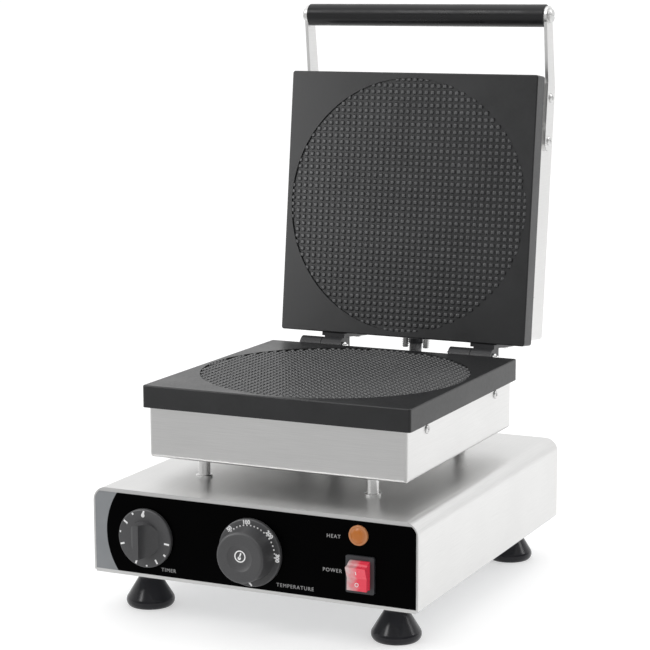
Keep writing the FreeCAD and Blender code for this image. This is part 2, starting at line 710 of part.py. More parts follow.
def switch_housing():
    x, _, z = rocker_pivot()
    rim = box((x - BEZEL[0] / 2, x + BEZEL[0] / 2), (OVERLAY_FACE - BEZEL_T, OVERLAY_FACE),
              (z - BEZEL[1] / 2, z + BEZEL[1] / 2))
    rim = rounded(rim, BEZEL_R, lambda e: runs_along(e, Y_AXIS))
    body = box((x - SWITCH_BODY[0] / 2, x + SWITCH_BODY[0] / 2), (OVERLAY_FACE, SWITCH_DEPTH),
               (z - SWITCH_BODY[1] / 2, z + SWITCH_BODY[1] / 2))
    tabs = [box((x + sx * 5 - TAB[2] / 2, x + sx * 5 + TAB[2] / 2),
                (SWITCH_DEPTH, SWITCH_DEPTH + TAB[1]),
                (z + sz * 7 - TAB[0] / 2, z + sz * 7 + TAB[0] / 2))
            for sx in (-1, 1) for sz in (-1, 1)]
    wide = PADDLE_HALF_W + PADDLE_CLEARANCE
    tall = PADDLE_R + PADDLE_CLEARANCE
    pocket = box((x - wide, x + wide), (-20, 9), (z - tall, z + tall))
    pins = rod(TRUNNION_R + SHAFT_CLEARANCE, (x - wide - 0.8, -PADDLE_PIVOT, z), X_AXIS,
               2 * wide + 1.6)
    return less(joined([rim, body] + tabs), pocket, pins)


def power_rocker():
    """A paddle with two sloping faces and a trunnion each side, tilted to its upper stop."""
    x, pivot_y, z = rocker_pivot()
    end = PADDLE_R * 0.985
    rise = end * math.tan(math.radians(PADDLE_FACET))
    front = -PADDLE_FACE
    profile = outline((0, front, 0), (0, front - rise, end), (0, 1.0, PADDLE_R),
                      (0, 5.0, 7.0), (0, 5.0, -7.0), (0, 1.0, -PADDLE_R),
                      (0, front - rise, -end))
    paddle = profile.extrude(V(2 * PADDLE_HALF_W, 0, 0))
    paddle.translate(V(x - PADDLE_HALF_W, 0, z))
    ends = rod(PADDLE_R, (x - PADDLE_HALF_W, pivot_y, z), X_AXIS, 2 * PADDLE_HALF_W)
    paddle = paddle.common(ends.fuse(box((x - 20, x + 20), (-20, 20), (z - 10, z + 10))))
    pins = rod(TRUNNION_R, (x - PADDLE_HALF_W - 0.9, pivot_y, z), X_AXIS,
               2 * PADDLE_HALF_W + 1.8)
    whole = joined([paddle, pins])
    whole.rotate(V(x, pivot_y, z), X_AXIS, PADDLE_TILT)
    return whole


# Supply
def supply_gland():
    """The supply cord's gland through the rear panel, with its nut inside."""
    at = on_front(GLAND_AT, 0)
    start = BASE_D
    across, thick = GLAND_HEX
    thread_r, thread_l = GLAND_THREAD
    dome_r, dome_l = GLAND_DOME
    section = outline((GLAND_BORE_R, 0, 0), (dome_r, 0, 0), (dome_r, dome_l - 7, 0),
                      ((dome_r - 1.2, dome_l - 3, 0), (GLAND_BORE_R + 1.6, dome_l, 0)),
                      (GLAND_BORE_R, dome_l, 0))
    dome = turned(section, Y_AXIS, (at[0], start + thick, at[2]))
    flange = hexagon(across, (at[0], start, at[2]), Y_AXIS, thick)
    thread = rod(thread_r, (at[0], start - thread_l, at[2]), Y_AXIS, thread_l)
    bore = rod(GLAND_BORE_R, (at[0], start - thread_l - 1, at[2]), Y_AXIS,
               thread_l + thick + dome_l + 2)
    nut = hexagon(across, (at[0], start - SHEET - thick, at[2]), Y_AXIS, thick)
    body = less(joined([dome, flange, thread]), bore)
    return group([body, less(nut, thread)])


def terminal_block():
    x0 = TERMINAL_MIDDLE - TERMINALS[0] / 2
    y0 = BASE_D - PAN_RIM - TERMINAL_TO_RIM - TERMINALS[1]
    z0 = BASE_BOTTOM + SHEET
    block = box((x0, x0 + TERMINALS[0]), (y0, y0 + TERMINALS[1]), (z0, z0 + TERMINALS[2]))
    wire_z = z0 + TERMINALS[2] * 0.4
    cuts = []
    for i in range(TERMINAL_COUNT):
        x = x0 + TERMINALS[0] * (i + 0.5) / TERMINAL_COUNT
        cuts.append(rod(WIRE_HOLE_R, (x, y0 - 1, wire_z), Y_AXIS, TERMINALS[1] + 2))
        for side in (-1, 1):
            y = y0 + TERMINALS[1] / 2 + side * CLAMP_HOLE_AT
            cuts.append(rod(CLAMP_HOLE_R, (x, y, wire_z), Z_AXIS, TERMINALS[2]))
    return less(block, *cuts)


def post(x, y):
    """A turned spacer with a collar at its foot, bored for its bolt."""
    section = outline((M6_R, 0, 0), (POST_COLLAR_R, 0, 0), (POST_COLLAR_R, 0, POST_COLLAR_H - 0.6),
                      (POST_COLLAR_R - 0.6, 0, POST_COLLAR_H), (POST_R, 0, POST_COLLAR_H),
                      (POST_R, 0, POST_H), (M6_R, 0, POST_H))
    return turned(section, Z_AXIS, (x, y, BASE_TOP))


def wire_sleeve():
    low = BASE_TOP - SHEET - SLEEVE_OVER
    high = CASING_BOTTOM + CASING_SHEET + SLEEVE_OVER
    return tube(SLEEVE_R, SLEEVE_BORE_R, (0, CENTRE_Y, low), Z_AXIS, high - low)


# Casings, plates and what is between them, drawn for the lower side
def casing():
    """A folded tray, open at the top."""
    centre = (0, CENTRE_Y)
    outside = slab(centre, (CASING_W, CASING_D), (CASING_BOTTOM, CASING_TOP))
    inside = slab(centre, (CASING_W - 2 * CASING_SHEET, CASING_D - 2 * CASING_SHEET),
                  (CASING_BOTTOM + CASING_SHEET, CASING_TOP + 1))
    outside = rounded(outside, CASING_BEND_R, lambda e: not level(e, CASING_TOP))
    inside = rounded(inside, CASING_BEND_R - CASING_SHEET,
                     lambda e: not level(e, CASING_TOP + 1))
    return outside.cut(inside)


def casing_screws():
    y = CASING_D / 2 - CASING_SCREW_END
    z = CASING_TOP - CASING_SCREW_IN
    return group([
        screw(M4_R, M4_HEAD_R, M4_HEAD_H, (side * CASING_W / 2, CENTRE_Y + end * y, z),
              -X_AXIS * side, M4_MEDIUM)
        for side in (-1, 1) for end in (-1, 1)
    ])


def pocket_size():
    return (CASING_W - 2 * CASING_SHEET - 2 * LAND_T, CASING_D - 2 * CASING_SHEET - 2 * LAND_T)


def leg_pitch():
    """Spacing of the element's four straight legs."""
    return (pocket_size()[0] - 2 * ELEMENT_IN_X) / 3


def clamp_reach():
    return pocket_size()[1] / 2 - CLAMP_SCREW_END


def clamp_places():
    """Screws between the legs. The capillary takes the place of the sixth."""
    pitch, reach = leg_pitch(), clamp_reach()
    return [(x, CENTRE_Y + y) for x in (-pitch, 0) for y in (-reach, reach)
            ] + [(pitch, CENTRE_Y - reach)]


def clamp_screws():
    z = CASING_TOP - CLAMP_T
    return group([screw(M4_R, M4_HEAD_R, M4_HEAD_H, (x, y, z), Z_AXIS, M4_LONG)
                  for x, y in clamp_places()])


def plate():
    """A cast plate: a round baking field sunk in its face, and an element pocket below."""
    centre = (0, CENTRE_Y)
    size = (CASING_W + 2 * PLATE_OVERHANG, CASING_D + 2 * PLATE_OVERHANG)
    body = slab(centre, size, (CASING_TOP, FACE_Z))
    body = rounded(body, PLATE_CORNER_R, lambda e: runs_along(e, Z_AXIS))
    body = rounded(body, PLATE_EDGE_R, lambda e: level(e, FACE_Z))
    land = slab(centre, (CASING_W - 2 * CASING_SHEET, CASING_D - 2 * CASING_SHEET),
                (CASING_TOP - LAND_H, CASING_TOP))
    land = rounded(land, CASING_BEND_R - CASING_SHEET, lambda e: runs_along(e, Z_AXIS))
    pocket = slab(centre, pocket_size(), (CASING_TOP - LAND_H - 1, CASING_TOP + POCKET_DEPTH))
    field = rod(min(size) / 2 - FIELD_MARGIN, (0, CENTRE_Y, FACE_Z - FIELD_DEPTH), Z_AXIS,
                FIELD_DEPTH + 1)
    bosses = [rod(CLAMP_BOSS_R, (x, y, CASING_TOP), Z_AXIS, POCKET_DEPTH)
              for x, y in clamp_places()]
    blank = joined([body.fuse(land).cut(pocket).cut(field)] + bosses)
    return less(blank, casing_screws(), clamp_screws())


def element():
    """A tubular heater bent into four straight legs, with a pin at each end."""
    z = CASING_TOP + ELEMENT_R
    reach = pocket_size()[1] / 2 - ELEMENT_IN_Y
    low, high = CENTRE_Y - reach, CENTRE_Y + reach
    middle = high - ELEMENT_MIDDLE
    leg = leg_pitch() / 2
    points = [V(-3 * leg, high, z), V(-3 * leg, low, z), V(-leg, low, z), V(-leg, middle, z),
              V(leg, middle, z), V(leg, low, z), V(3 * leg, low, z), V(3 * leg, high, z)]
    bar = swept("element", ELEMENT_R, points, [leg - 0.1] * 6)
    pins = [rod(ELEMENT_PIN[0], (side * 3 * leg, high, z), Y_AXIS, ELEMENT_PIN[1])
            for side in (-1, 1)]
    return joined([bar] + pins)


def capillary_hole():
    """Where the thermostat's capillary goes down through the clamp and the insulation."""
    return rod(CAPILLARY_HOLE_R, (leg_pitch(), CENTRE_Y + clamp_reach(), CASING_BOTTOM),
               Z_AXIS, CASING_H)


def element_clamp():
    size = pocket_size()
    sheet = slab((0, CENTRE_Y), (size[0] - 2 * CLAMP_IN, size[1] - 2 * CLAMP_IN),
                 (CASING_TOP - CLAMP_T, CASING_TOP))
    return less(sheet, clamp_screws(), capillary_hole())


def insulation():
    """A ceramic fibre blanket under the clamp, clear of the rim that holds the plate."""
    size = pocket_size()
    high = CASING_TOP - CLAMP_T - M4_HEAD_H - INSULATION_GAP
    low = CASING_BOTTOM + INSULATION_UP
    blanket = slab((0, CENTRE_Y), (size[0] - INSULATION_IN, size[1] - INSULATION_IN), (low, high))
    return less(blanket, capillary_hole())


def bulb():
    """The thermostat's bulb, between two legs of the lower element."""
    return rod(BULB_R, (leg_pitch(), CENTRE_Y - BULB_L / 2, CASING_TOP + ELEMENT_R), Y_AXIS,
               BULB_L)


def capillary():
    """The bulb's fine tube: down through the insulation, the sleeve and on to the thermostat."""
    duct_z = CASING_BOTTOM + CAPILLARY_DUCT
    body_rear = SHEET + THERMOSTAT_BODY[1]
    top = CASING_TOP + ELEMENT_R
    low = BASE_TOP - SHEET - 14.0
    hole_x, hole_y = leg_pitch(), CENTRE_Y + clamp_reach()
    entry_z = BASE_BOTTOM + THERMOSTAT_AT[1] + 12
    points = [
        V(hole_x, CENTRE_Y + BULB_L / 2, top), V(hole_x, hole_y, top),
        V(hole_x, hole_y, duct_z), V(30, CENTRE_Y + 22, duct_z - 0.5),
        V(0, CENTRE_Y, duct_z), V(0, CENTRE_Y, low), V(4, CENTRE_Y - 40, low - 6),
        V(-3, CENTRE_Y - 85, low - 3), V(12, body_rear + 14, entry_z), V(12, body_rear, entry_z),
    ]
    radii = [min(CAPILLARY_BEND_R, r) for r in easy_radii(points)]
    return swept("capillary", CAPILLARY_R, points, radii)


# Hinges
def hinge_middles():
    return {"left": -HINGE_X, "right": HINGE_X}


def leaf_screws(x, z):
    """Two screws from behind through a leaf into the casing's rear wall."""
    return group([screw(M4_R, M4_HEAD_R, M4_HEAD_H,
                        (x + side * LEAF_SCREW_SPREAD / 2, PLATE_REAR + LEAF_T, z),
                        -Y_AXIS, M4_LONG - 1) for side in (-1, 1)])


def lower_leaf_z():
    return CASING_TOP - LEAF_IN - LEAF_H / 2


def upper_leaf_z():
    return LID_FACE_Z + PLATE_T + LEAF_IN + LEAF_H / 2


def upper_leaf_middle(x):
    return x + KNUCKLE_GAP + UPPER_KNUCKLE_W - UPPER_LEAF_W / 2


def hinge_screws():
    return group([leaf_screws(x, lower_leaf_z()) for x in hinge_middles().values()])


def lid_hinge_screws():
    return group([leaf_screws(upper_leaf_middle(x), upper_leaf_z())
                  for x in hinge_middles().values()])


def stop_heel_top():
    """Height of the stop heel: just under the open lid's leaf, at the heel's rear edge."""
    leaf_from_axis = HINGE_BEHIND - LEAF_T
    along = (STOP_REACH + leaf_from_axis * math.cos(SWING)) / math.sin(SWING)
    return HINGE_Z + leaf_from_axis * math.sin(SWING) + along * math.cos(SWING) - STOP_GAP


def lower_hinge(x):
    """A cast bracket on the lower casing: leaf, one knuckle, and the heel that stops the lid."""
    left = x - KNUCKLE_GAP - LOWER_KNUCKLE_W
    right = x + KNUCKLE_GAP + UPPER_KNUCKLE_W
    leaf_low = CASING_TOP - LEAF_IN - LEAF_H
    under = HINGE_Z - KNUCKLE_R
    heel = (x + KNUCKLE_GAP + HEEL_IN, right - HEEL_IN)
    heel_high = under - HEEL_BELOW
    pieces = [
        box((left, right), (PLATE_REAR, PLATE_REAR + LEAF_T), (leaf_low, under + 2)),
        box((left, right), (CASING_REAR, PLATE_REAR), (leaf_low, CASING_TOP)),
        box((left, x - KNUCKLE_GAP), (PLATE_REAR, HINGE_Y), (under, HINGE_Z + 1)),
        rod(KNUCKLE_R, (left, HINGE_Y, HINGE_Z), X_AXIS, LOWER_KNUCKLE_W),
        box(heel, (PLATE_REAR, HINGE_Y + STOP_REACH), (heel_high - HEEL_T, heel_high)),
        box(heel, (HINGE_Y + STOP_REACH - STOP_T, HINGE_Y + STOP_REACH),
            (heel_high - HEEL_T, stop_heel_top())),
    ]
    bore = rod(PIN_R, (left - 1, HINGE_Y, HINGE_Z), X_AXIS, LOWER_KNUCKLE_W + 2)
    return less(joined(pieces), bore, hinge_screws())


def upper_hinge(x):
    """A cast bracket on the lid's casing, with the other knuckle."""
    left = x + KNUCKLE_GAP
    right = left + UPPER_KNUCKLE_W
    leaf_left = upper_leaf_middle(x) - UPPER_LEAF_W / 2
    leaf_low = LID_FACE_Z + UPPER_LEAF_LIP
    leaf_high = LID_FACE_Z + PLATE_T + LEAF_IN + LEAF_H
    pieces = [
        box((leaf_left, right), (PLATE_REAR, PLATE_REAR + LEAF_T), (leaf_low, leaf_high)),
        box((leaf_left, right), (CASING_REAR, PLATE_REAR), (LID_FACE_Z + PLATE_T, leaf_high)),
        box((left, right), (PLATE_REAR + CLOSED_GAP, HINGE_Y),
            (HINGE_Z + 1, HINGE_Z + KNUCKLE_R)),
        rod(KNUCKLE_R, (left, HINGE_Y, HINGE_Z), X_AXIS, UPPER_KNUCKLE_W),
    ]
    bore = rod(PIN_R + PIN_CLEARANCE, (left - 1, HINGE_Y, HINGE_Z), X_AXIS, UPPER_KNUCKLE_W + 2)
    return less(joined(pieces), bore, lid_hinge_screws())


def hinge_pin(x):
    left = x - KNUCKLE_GAP - LOWER_KNUCKLE_W
    right = x + KNUCKLE_GAP + UPPER_KNUCKLE_W + PIN_OVER
    head = rod(PIN_HEAD_R, (left - PIN_HEAD_H, HINGE_Y, HINGE_Z), X_AXIS, PIN_HEAD_H)
    head = rounded(head, 1.0, lambda e: e.BoundBox.XMax < left - PIN_HEAD_H + 1e-4)
    return joined([head, rod(PIN_R, (left, HINGE_Y, HINGE_Z), X_AXIS, right - left)])


def hinge_clips():
    return group([
        tube(CLIP_R, PIN_R, (x + 2 * KNUCKLE_GAP + UPPER_KNUCKLE_W + 0.2, HINGE_Y, HINGE_Z),
             X_AXIS, CLIP_T) for x in hinge_middles().values()
    ])


# Handle, drawn on the shut lid
def arm_outline(x, side):
    """One flat arm: a wide part along the casing, and a neck to the boss at the grip."""

    def at(along, behind):
        y, z = lid_point(along, behind)
        return V(x, y, z)

    def disc(along, behind, radius):
        return Part.Face(Part.Wire(Part.makeCircle(radius, at(along, behind), X_AXIS)))

    wall = LID_WALL_MID
    half, neck = ARM_W / 2, ARM_NECK_W / 2
    slope = V(GRIP_ALONG - ARM_BEND, GRIP_BEHIND - wall, 0).normalize()
    across = (-slope.y, slope.x)
    shank = Part.Face(Part.makePolygon([
        at(ARM_LOW, wall - half), at(ARM_LOW, wall + half), at(ARM_BEND, wall + half),
        at(GRIP_ALONG + across[0] * neck, GRIP_BEHIND + across[1] * neck),
        at(GRIP_ALONG - across[0] * neck, GRIP_BEHIND - across[1] * neck),
        at(ARM_BEND, wall - half), at(ARM_LOW, wall - half)]))
    discs = [disc(ARM_LOW, wall, half), disc(GRIP_ALONG, GRIP_BEHIND, ARM_BOSS_R)]
    plates = [face.extrude(X_AXIS * side * ARM_T) for face in [shank] + discs]
    return joined(plates)


def arm_screws():
    screws = []
    for side in (-1, 1):
        for along in (ARM_LOW, ARM_HIGH):
            y, z = lid_point(along, LID_WALL_MID)
            screws.append(screw(M4_R, M4_HEAD_R + 0.6, M4_HEAD_H + 0.4,
                                (side * (CASING_W / 2 + ARM_T), y, z), -X_AXIS * side, M4_MEDIUM))
    return group(screws)


def grip_bolts():
    """A slotted bolt through each arm into the end of the grip's rod."""
    y, z = lid_point(GRIP_ALONG, GRIP_BEHIND)
    bolts = []
    for side in (-1, 1):
        under = side * (CASING_W / 2 + ARM_T)
        bolt = screw(GRIP_BOLT_R, BOLT_HEAD_R, BOLT_HEAD_H, (under, y, z), -X_AXIS * side,
                     GRIP_BOLT_L)
        top = under + side * BOLT_HEAD_H
        slot = box(sorted((top - side * BOLT_SLOT[1], top + side)),
                   (y - BOLT_SLOT[0] / 2, y + BOLT_SLOT[0] / 2), (z - 10, z + 10))
        bolts.append(less(bolt, slot))
    return group(bolts)


def arm(side):
    return less(arm_outline(side * CASING_W / 2, side), arm_screws(), grip_bolts())


def grip_rod():
    y, z = lid_point(GRIP_ALONG, GRIP_BEHIND)
    return less(rod(GRIP_ROD_R, (-CASING_W / 2, y, z), X_AXIS, CASING_W), grip_bolts())


def grip():
    y, z = lid_point(GRIP_ALONG, GRIP_BEHIND)
    sleeve = tube(GRIP_R, GRIP_ROD_R, (-CASING_W / 2, y, z), X_AXIS, CASING_W)
    ends = CASING_W / 2 - 0.1
    return rounded(sleeve, GRIP_END_R, lambda e: abs(e.BoundBox.Center.x) > ends
                   and e.BoundBox.ZLength > 1.9 * GRIP_R)


# Lid lead
def lead_height():
    return CASING_TOP - LAND_H - LEAD_UNDER


def grommet():
    """A bush in the lower casing's rear wall that the lead slides through."""
    z = lead_height()
    y = CASING_REAR
    neck = LEAD_R + GROMMET_WALL
    flange = neck + GROMMET_FLANGE
    outer = joined([
        rod(flange, (0, y, z), Y_AXIS, GROMMET_FLANGE_T),
        rod(neck, (0, y - CASING_SHEET, z), Y_AXIS, CASING_SHEET),
        rod(flange, (0, y - CASING_SHEET - GROMMET_FLANGE_T, z), Y_AXIS, GROMMET_FLANGE_T),
    ])
    return less(outer, rod(LEAD_R, (0, y - 10, z), Y_AXIS, 20))


def lead_clamp():
    """A foot on the lid's rear wall with a short tube that grips the lead."""
    y, z = CASING_REAR, LID_FACE_Z + LID_WALL_MID
    reach = STUD_AT + STUD_R + CLAMP_FOOT_EDGE
    foot_plate = box((-reach, reach), (y, y + CLAMP_FOOT_T),
                     (z - CLAMP_FOOT_H / 2, z + CLAMP_FOOT_H / 2))
    body = joined([foot_plate, rod(CLAMP_TUBE_R, (0, y, z), Y_AXIS, CLAMP_TUBE_L)])
    bore = rod(LEAD_R - CLAMP_BITE, (0, y - 1, z), Y_AXIS, CLAMP_TUBE_L + 2)
    return less(body, bore, lead_studs())


def lead_studs():
    """Two threaded studs that hold the lead's clamp, as rings on a core."""
    z = LID_FACE_Z + LID_WALL_MID
    inner = CASING_REAR - CASING_SHEET - 3
    pitch = (STUD_L - CLAMP_FOOT_T) / STUD_RINGS
    studs = []
    for side in (-1, 1):
        pieces = [rod(STUD_CORE_R, (side * STUD_AT, inner, z), Y_AXIS,
                      CASING_REAR + STUD_L - inner)]
        pieces += [rod(STUD_R, (side * STUD_AT, CASING_REAR + CLAMP_FOOT_T + i * pitch, z),
                       Y_AXIS, pitch * 0.55) for i in range(STUD_RINGS)]
        studs.append(joined(pieces))
    return group(studs)


def lead():
    """The lid's flexible sleeve, from inside the lower casing round and up to its clamp."""
    end_y, end_z = opened_point(CASING_REAR + CLAMP_TUBE_L + STOP_GAP, LID_FACE_Z + LID_WALL_MID)
    start = CASING_REAR - LEAD_INSIDE
    z = lead_height()
    points = [V(0, start, z), V(0, CASING_REAR + 14, z), V(0, CASING_REAR + 32.4, z - 1.3),
              V(0, CASING_REAR + 45.2, z + 2.9), V(0, CASING_REAR + 55.5, z + 11.6),
              V(0, end_y + LEAD_END_RUN * math.cos(SWING),
                end_z - LEAD_END_RUN * math.sin(SWING)),
              V(0, end_y, end_z)]
    return swept("lead", LEAD_R, points, easy_radii(points))


def all_parts():
    """Every sub-part by name, still in the drawing's own place."""
    parts = {}
    parts["base_cover"] = base_cover()
    parts["front_panel"] = front_panel()
    parts["rear_panel"] = rear_panel()
    parts["bottom_plate"] = bottom_plate()
    parts["control_overlay"], parts["overlay_strip"] = overlay_parts()
    for name, (x, y) in foot_places().items():
        parts[f"foot_{name}"] = foot(x, y)
    parts["foot_screws"] = foot_screws()
    parts["bottom_screws"] = bottom_screws()

    parts["timer_body"] = body_behind(TIMER_AT, TIMER_BODY, OVERLAY_FACE)
    parts["timer_shaft"] = timer_shaft()
    parts["timer_knob"] = timer_knob()
    parts["thermostat_body"] = body_behind(THERMOSTAT_AT, THERMOSTAT_BODY, OVERLAY_FACE)
    parts["thermostat_shaft"] = thermostat_shaft()
    parts["thermostat_knob"] = thermostat_knob()
    parts["thermostat_bulb"] = bulb()
    parts["capillary_tube"] = capillary()
    parts["control_screws"] = control_screws()
    parts["lamp_barrel"], parts["lamp_lens"] = lamp_parts()
    parts["switch_housing"] = switch_housing()
    parts["power_rocker"] = power_rocker()
    parts["supply_gland"] = supply_gland()
    parts["terminal_block"] = terminal_block()

    parts["posts"] = group([post(x, y) for x, y in post_places()])
    parts["post_bolts"] = post_bolts()
    parts["wire_sleeve"] = wire_sleeve()

    parts["lower_casing"] = less(
        casing(), post_bolts(), sleeve_hole(CASING_BOTTOM), casing_screws(), hinge_screws(),
        rod(LEAD_R + GROMMET_WALL, (0, CASING_REAR - 5, lead_height()), Y_AXIS, 10))
    parts["lower_plate"] = plate()
    parts["lower_element"] = element()
    parts["lower_element_clamp"] = element_clamp()
    parts["lower_insulation"] = insulation()
    parts["lower_screws"] = group([casing_screws(), clamp_screws(), hinge_screws()])

    for name, x in hinge_middles().items():
        parts[f"lower_hinge_{name}"] = lower_hinge(x)
        parts[f"hinge_pin_{name}"] = hinge_pin(x)
    parts["hinge_clips"] = hinge_clips()
    parts["lead_grommet"] = grommet()
    parts["lid_lead"] = lead()

    lead_hole = rod(LEAD_R - CLAMP_BITE, (0, CASING_REAR - 5, LID_FACE_Z + LID_WALL_MID), Y_AXIS, 10)
    lid = {
        "upper_plate": above(plate()),
        "upper_casing": less(above(casing()), above(casing_screws()), lid_hinge_screws(),
                             arm_screws(), lead_studs(), lead_hole),
        "upper_element": above(element()),
        "upper_element_clamp": above(element_clamp()),
        "upper_insulation": above(insulation()),
        "lid_screws": group([above(casing_screws()), above(clamp_screws()),
                             lid_hinge_screws()]),
        "arm_left": arm(-1),
        "arm_right": arm(1),
        "arm_screws": arm_screws(),
        "handle_grip": grip(),
        "handle_rod": grip_rod(),
        "handle_bolts": grip_bolts(),
        "lead_clamp": lead_clamp(),
        "lead_studs": lead_studs(),
    }
    for name, x in hinge_middles().items():
        lid[f"upper_hinge_{name}"] = upper_hinge(x)
    for name, shape in lid.items():
        parts[name] = opened(shape)
    return parts


def main():
    os.makedirs("parts", exist_ok=True)
    middle_y = (KNOB_FRONT + lid_rear_y()) / 2
    parts = all_parts()
    for name, shape in sorted(parts.items()):
        shape.translate(V(0, -middle_y, 0))
        shape.exportStep(f"parts/{name}.step")
        if not shape.isValid() or len(shape.Solids) < 1:
            print(f"{name}: not a valid solid")
    print(f"{len(parts)} sub-parts; origin {middle_y:.3f} behind the housing's front face")
    print(f"hinge axis: Y {HINGE_Y - middle_y:.3f}, Z {HINGE_Z:.3f}")
    for name, at in (("timer", TIMER_AT), ("thermostat", THERMOSTAT_AT), ("rocker", ROCKER_AT)):
        print(f"{name} axis: X {at[0]:.3f}, Z {BASE_BOTTOM + at[1]:.3f}")
    print(f"rocker pivot: Y {rocker_pivot()[1] - middle_y:.3f}")


main()
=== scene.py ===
"""Looks of the waffle cone maker: a finish for every part, and the pieces too fine for the frame.

Lengths are in metres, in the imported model's frame: +X right, +Z up, and -Y towards the front.
"""

import json
import math

import bmesh
import bpy
import numpy as np
from mathutils import Matrix, Vector


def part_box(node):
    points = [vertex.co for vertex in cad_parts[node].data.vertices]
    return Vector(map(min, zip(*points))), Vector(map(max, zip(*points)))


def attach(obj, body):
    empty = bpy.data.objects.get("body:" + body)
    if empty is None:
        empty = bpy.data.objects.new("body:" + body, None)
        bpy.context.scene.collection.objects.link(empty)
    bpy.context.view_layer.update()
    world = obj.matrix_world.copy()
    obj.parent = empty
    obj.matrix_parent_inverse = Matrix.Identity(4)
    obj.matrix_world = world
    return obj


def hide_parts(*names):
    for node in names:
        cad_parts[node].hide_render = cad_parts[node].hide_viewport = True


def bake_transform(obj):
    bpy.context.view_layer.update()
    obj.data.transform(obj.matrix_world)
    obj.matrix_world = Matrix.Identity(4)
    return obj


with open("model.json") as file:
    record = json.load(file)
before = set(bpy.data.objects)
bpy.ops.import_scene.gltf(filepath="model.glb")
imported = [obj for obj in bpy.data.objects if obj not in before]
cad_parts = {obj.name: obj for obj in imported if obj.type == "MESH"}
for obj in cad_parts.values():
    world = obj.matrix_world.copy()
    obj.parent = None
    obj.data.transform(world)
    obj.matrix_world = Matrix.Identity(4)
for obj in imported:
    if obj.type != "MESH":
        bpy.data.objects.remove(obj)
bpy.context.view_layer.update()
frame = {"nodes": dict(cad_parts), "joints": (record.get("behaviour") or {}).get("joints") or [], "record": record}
NODES = frame["nodes"]
MM = 0.001

# Places that follow from the frame
OVERLAY_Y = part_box("control_overlay")[0].y
PLATE_LOW, PLATE_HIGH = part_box("lower_plate")
PLATE_CENTRE = (PLATE_LOW + PLATE_HIGH) / 2
LID_JOINT = next(j for j in frame["joints"] if j["name"] == "lid_hinge")
HINGE = Vector(LID_JOINT["pos_m"])
LID_OPEN = math.radians(LID_JOINT["range_deg"][1])
LID_GAP = 0.5 * MM              # between the two baking faces with the lid shut
LID_FACE_Z = PLATE_HIGH.z + LID_GAP

# Baking fields
FIELD_R = 120.0 * MM
FIELD_DEPTH = 1.6 * MM
NUB_PITCH = 6.1 * MM
NUB_SIDES = ((2.45, -0.1), (2.25, 0.05), (1.72, 1.05), (1.5, 1.36), (1.1, 1.5))   # half width, height
NUB_SHADED_RINGS = 2              # the nub's lowest sides are painted darker than its crown: painted shade in the gaps between nubs
NUB_CORNER = 0.36               # share of a nub's half width that its corner is cut by

# Dials
SKIRT_FRONT = 3.6 * MM          # skirt's front face before its back
KNOB_GAP = 0.6 * MM
SKIRT_Y = OVERLAY_Y - KNOB_GAP - SKIRT_FRONT
PRINT = 0.12 * MM               # thickness of printed marks
TIMER_TOP = 92.0                # nought's place on the timer's skirt, degrees from the right
TIMER_STEP = 26.1
TIMER_OUTER = 24.1 * MM
TIMER_STROKES = ((1, 22.3), (2, 19.8), (3, 22.9), (4, 20.2), (6, 21.0), (7, 22.7), (8, 20.0),
                 (9, 21.8), (10, 19.2))    # step and inner end in mm

WORD_HEIGHT = 3.1 * MM

# Screw heads: shares of the recess's reach or of the head's height
CROSS_HALF = 0.17               # half width of the recess at its mouth
CROSS_FLOOR = 0.35              # height of its floor
CROSS_TAPER = (0.55, 0.9)       # its floor's size in X and Y, to its mouth's

# Lid's hinge screws
LEAF_T = 3.6 * MM               # thickness of the hinge leaves, on the plate's rear face
HINGE_SCREWS_FROM = -30 * MM    # they lie behind this, from the hinge, with the lid shut
HINGE_SCREWS_OUT = 40 * MM      # and further than this from the middle

# Lead's braid
BRAID_STEP = 0.7 * MM
BRAID_AROUND = 64
BRAID_STRANDS = 10
BRAID_LAY = 2 * math.pi / (18.0 * MM)    # turn between strands wound opposite ways, a metre
BRAID_RELIEF = 0.16 * MM

# Camera, at the height and turn that the view of the object has
CAMERA_AT = (0.76234, -1.66086, 0.53426)
CAMERA_YAW, CAMERA_PITCH, CAMERA_ROLL = (math.radians(a) for a in (25.25, -9.46, -0.18))
CAMERA_LENS = 114.76
SENSOR = 36.0
CAMERA_FAR = 200.0

# Lamps: name, place, the point they face, size and power in watts
LAMPS = (("overhead", (0.1, 0.1, 2.6), (0, 0, 0.2), (2.4, 2.4), 9.0),
         ("right", (1.75, 0.75, 1.6), (0, 0, 0.2), (0.5, 1.1), 9.0),
         ("left", (-0.95, -1.6, 1.9), (0, 0, 0.2), (0.5, 1.1), 10.0),
         ("near", (-0.82, -0.74, 0.54), (-0.13, 0.14, 0.40), (0.4, 0.7), 5.6))

# All that the near lamp lights, because it would glare in the steel
NEAR_LIGHTS = ("upper_plate", "upper_grid", "lower_plate", "lower_grid", "timer_knob",
               "thermostat_knob")

# Floor, and the card that only reflections see
FLOOR_R = 60.0
CARD_LEFT, CARD_RIGHT = -2.4, 1.6
CARD_FRONT, CARD_REAR = -3.2, -0.27
CARD_HEIGHT = 0.001

# Surround's brightness, as a product: axis of the direction, its range, and dim and bright ends
SURROUND = (("Z", (0.0, 0.9), (1.0, 1.1)),
            ("Y", (-1.0, 0.0), (0.42, 1.0)),
            ("X", (0.5, 1.0), (1.0, 0.35)))


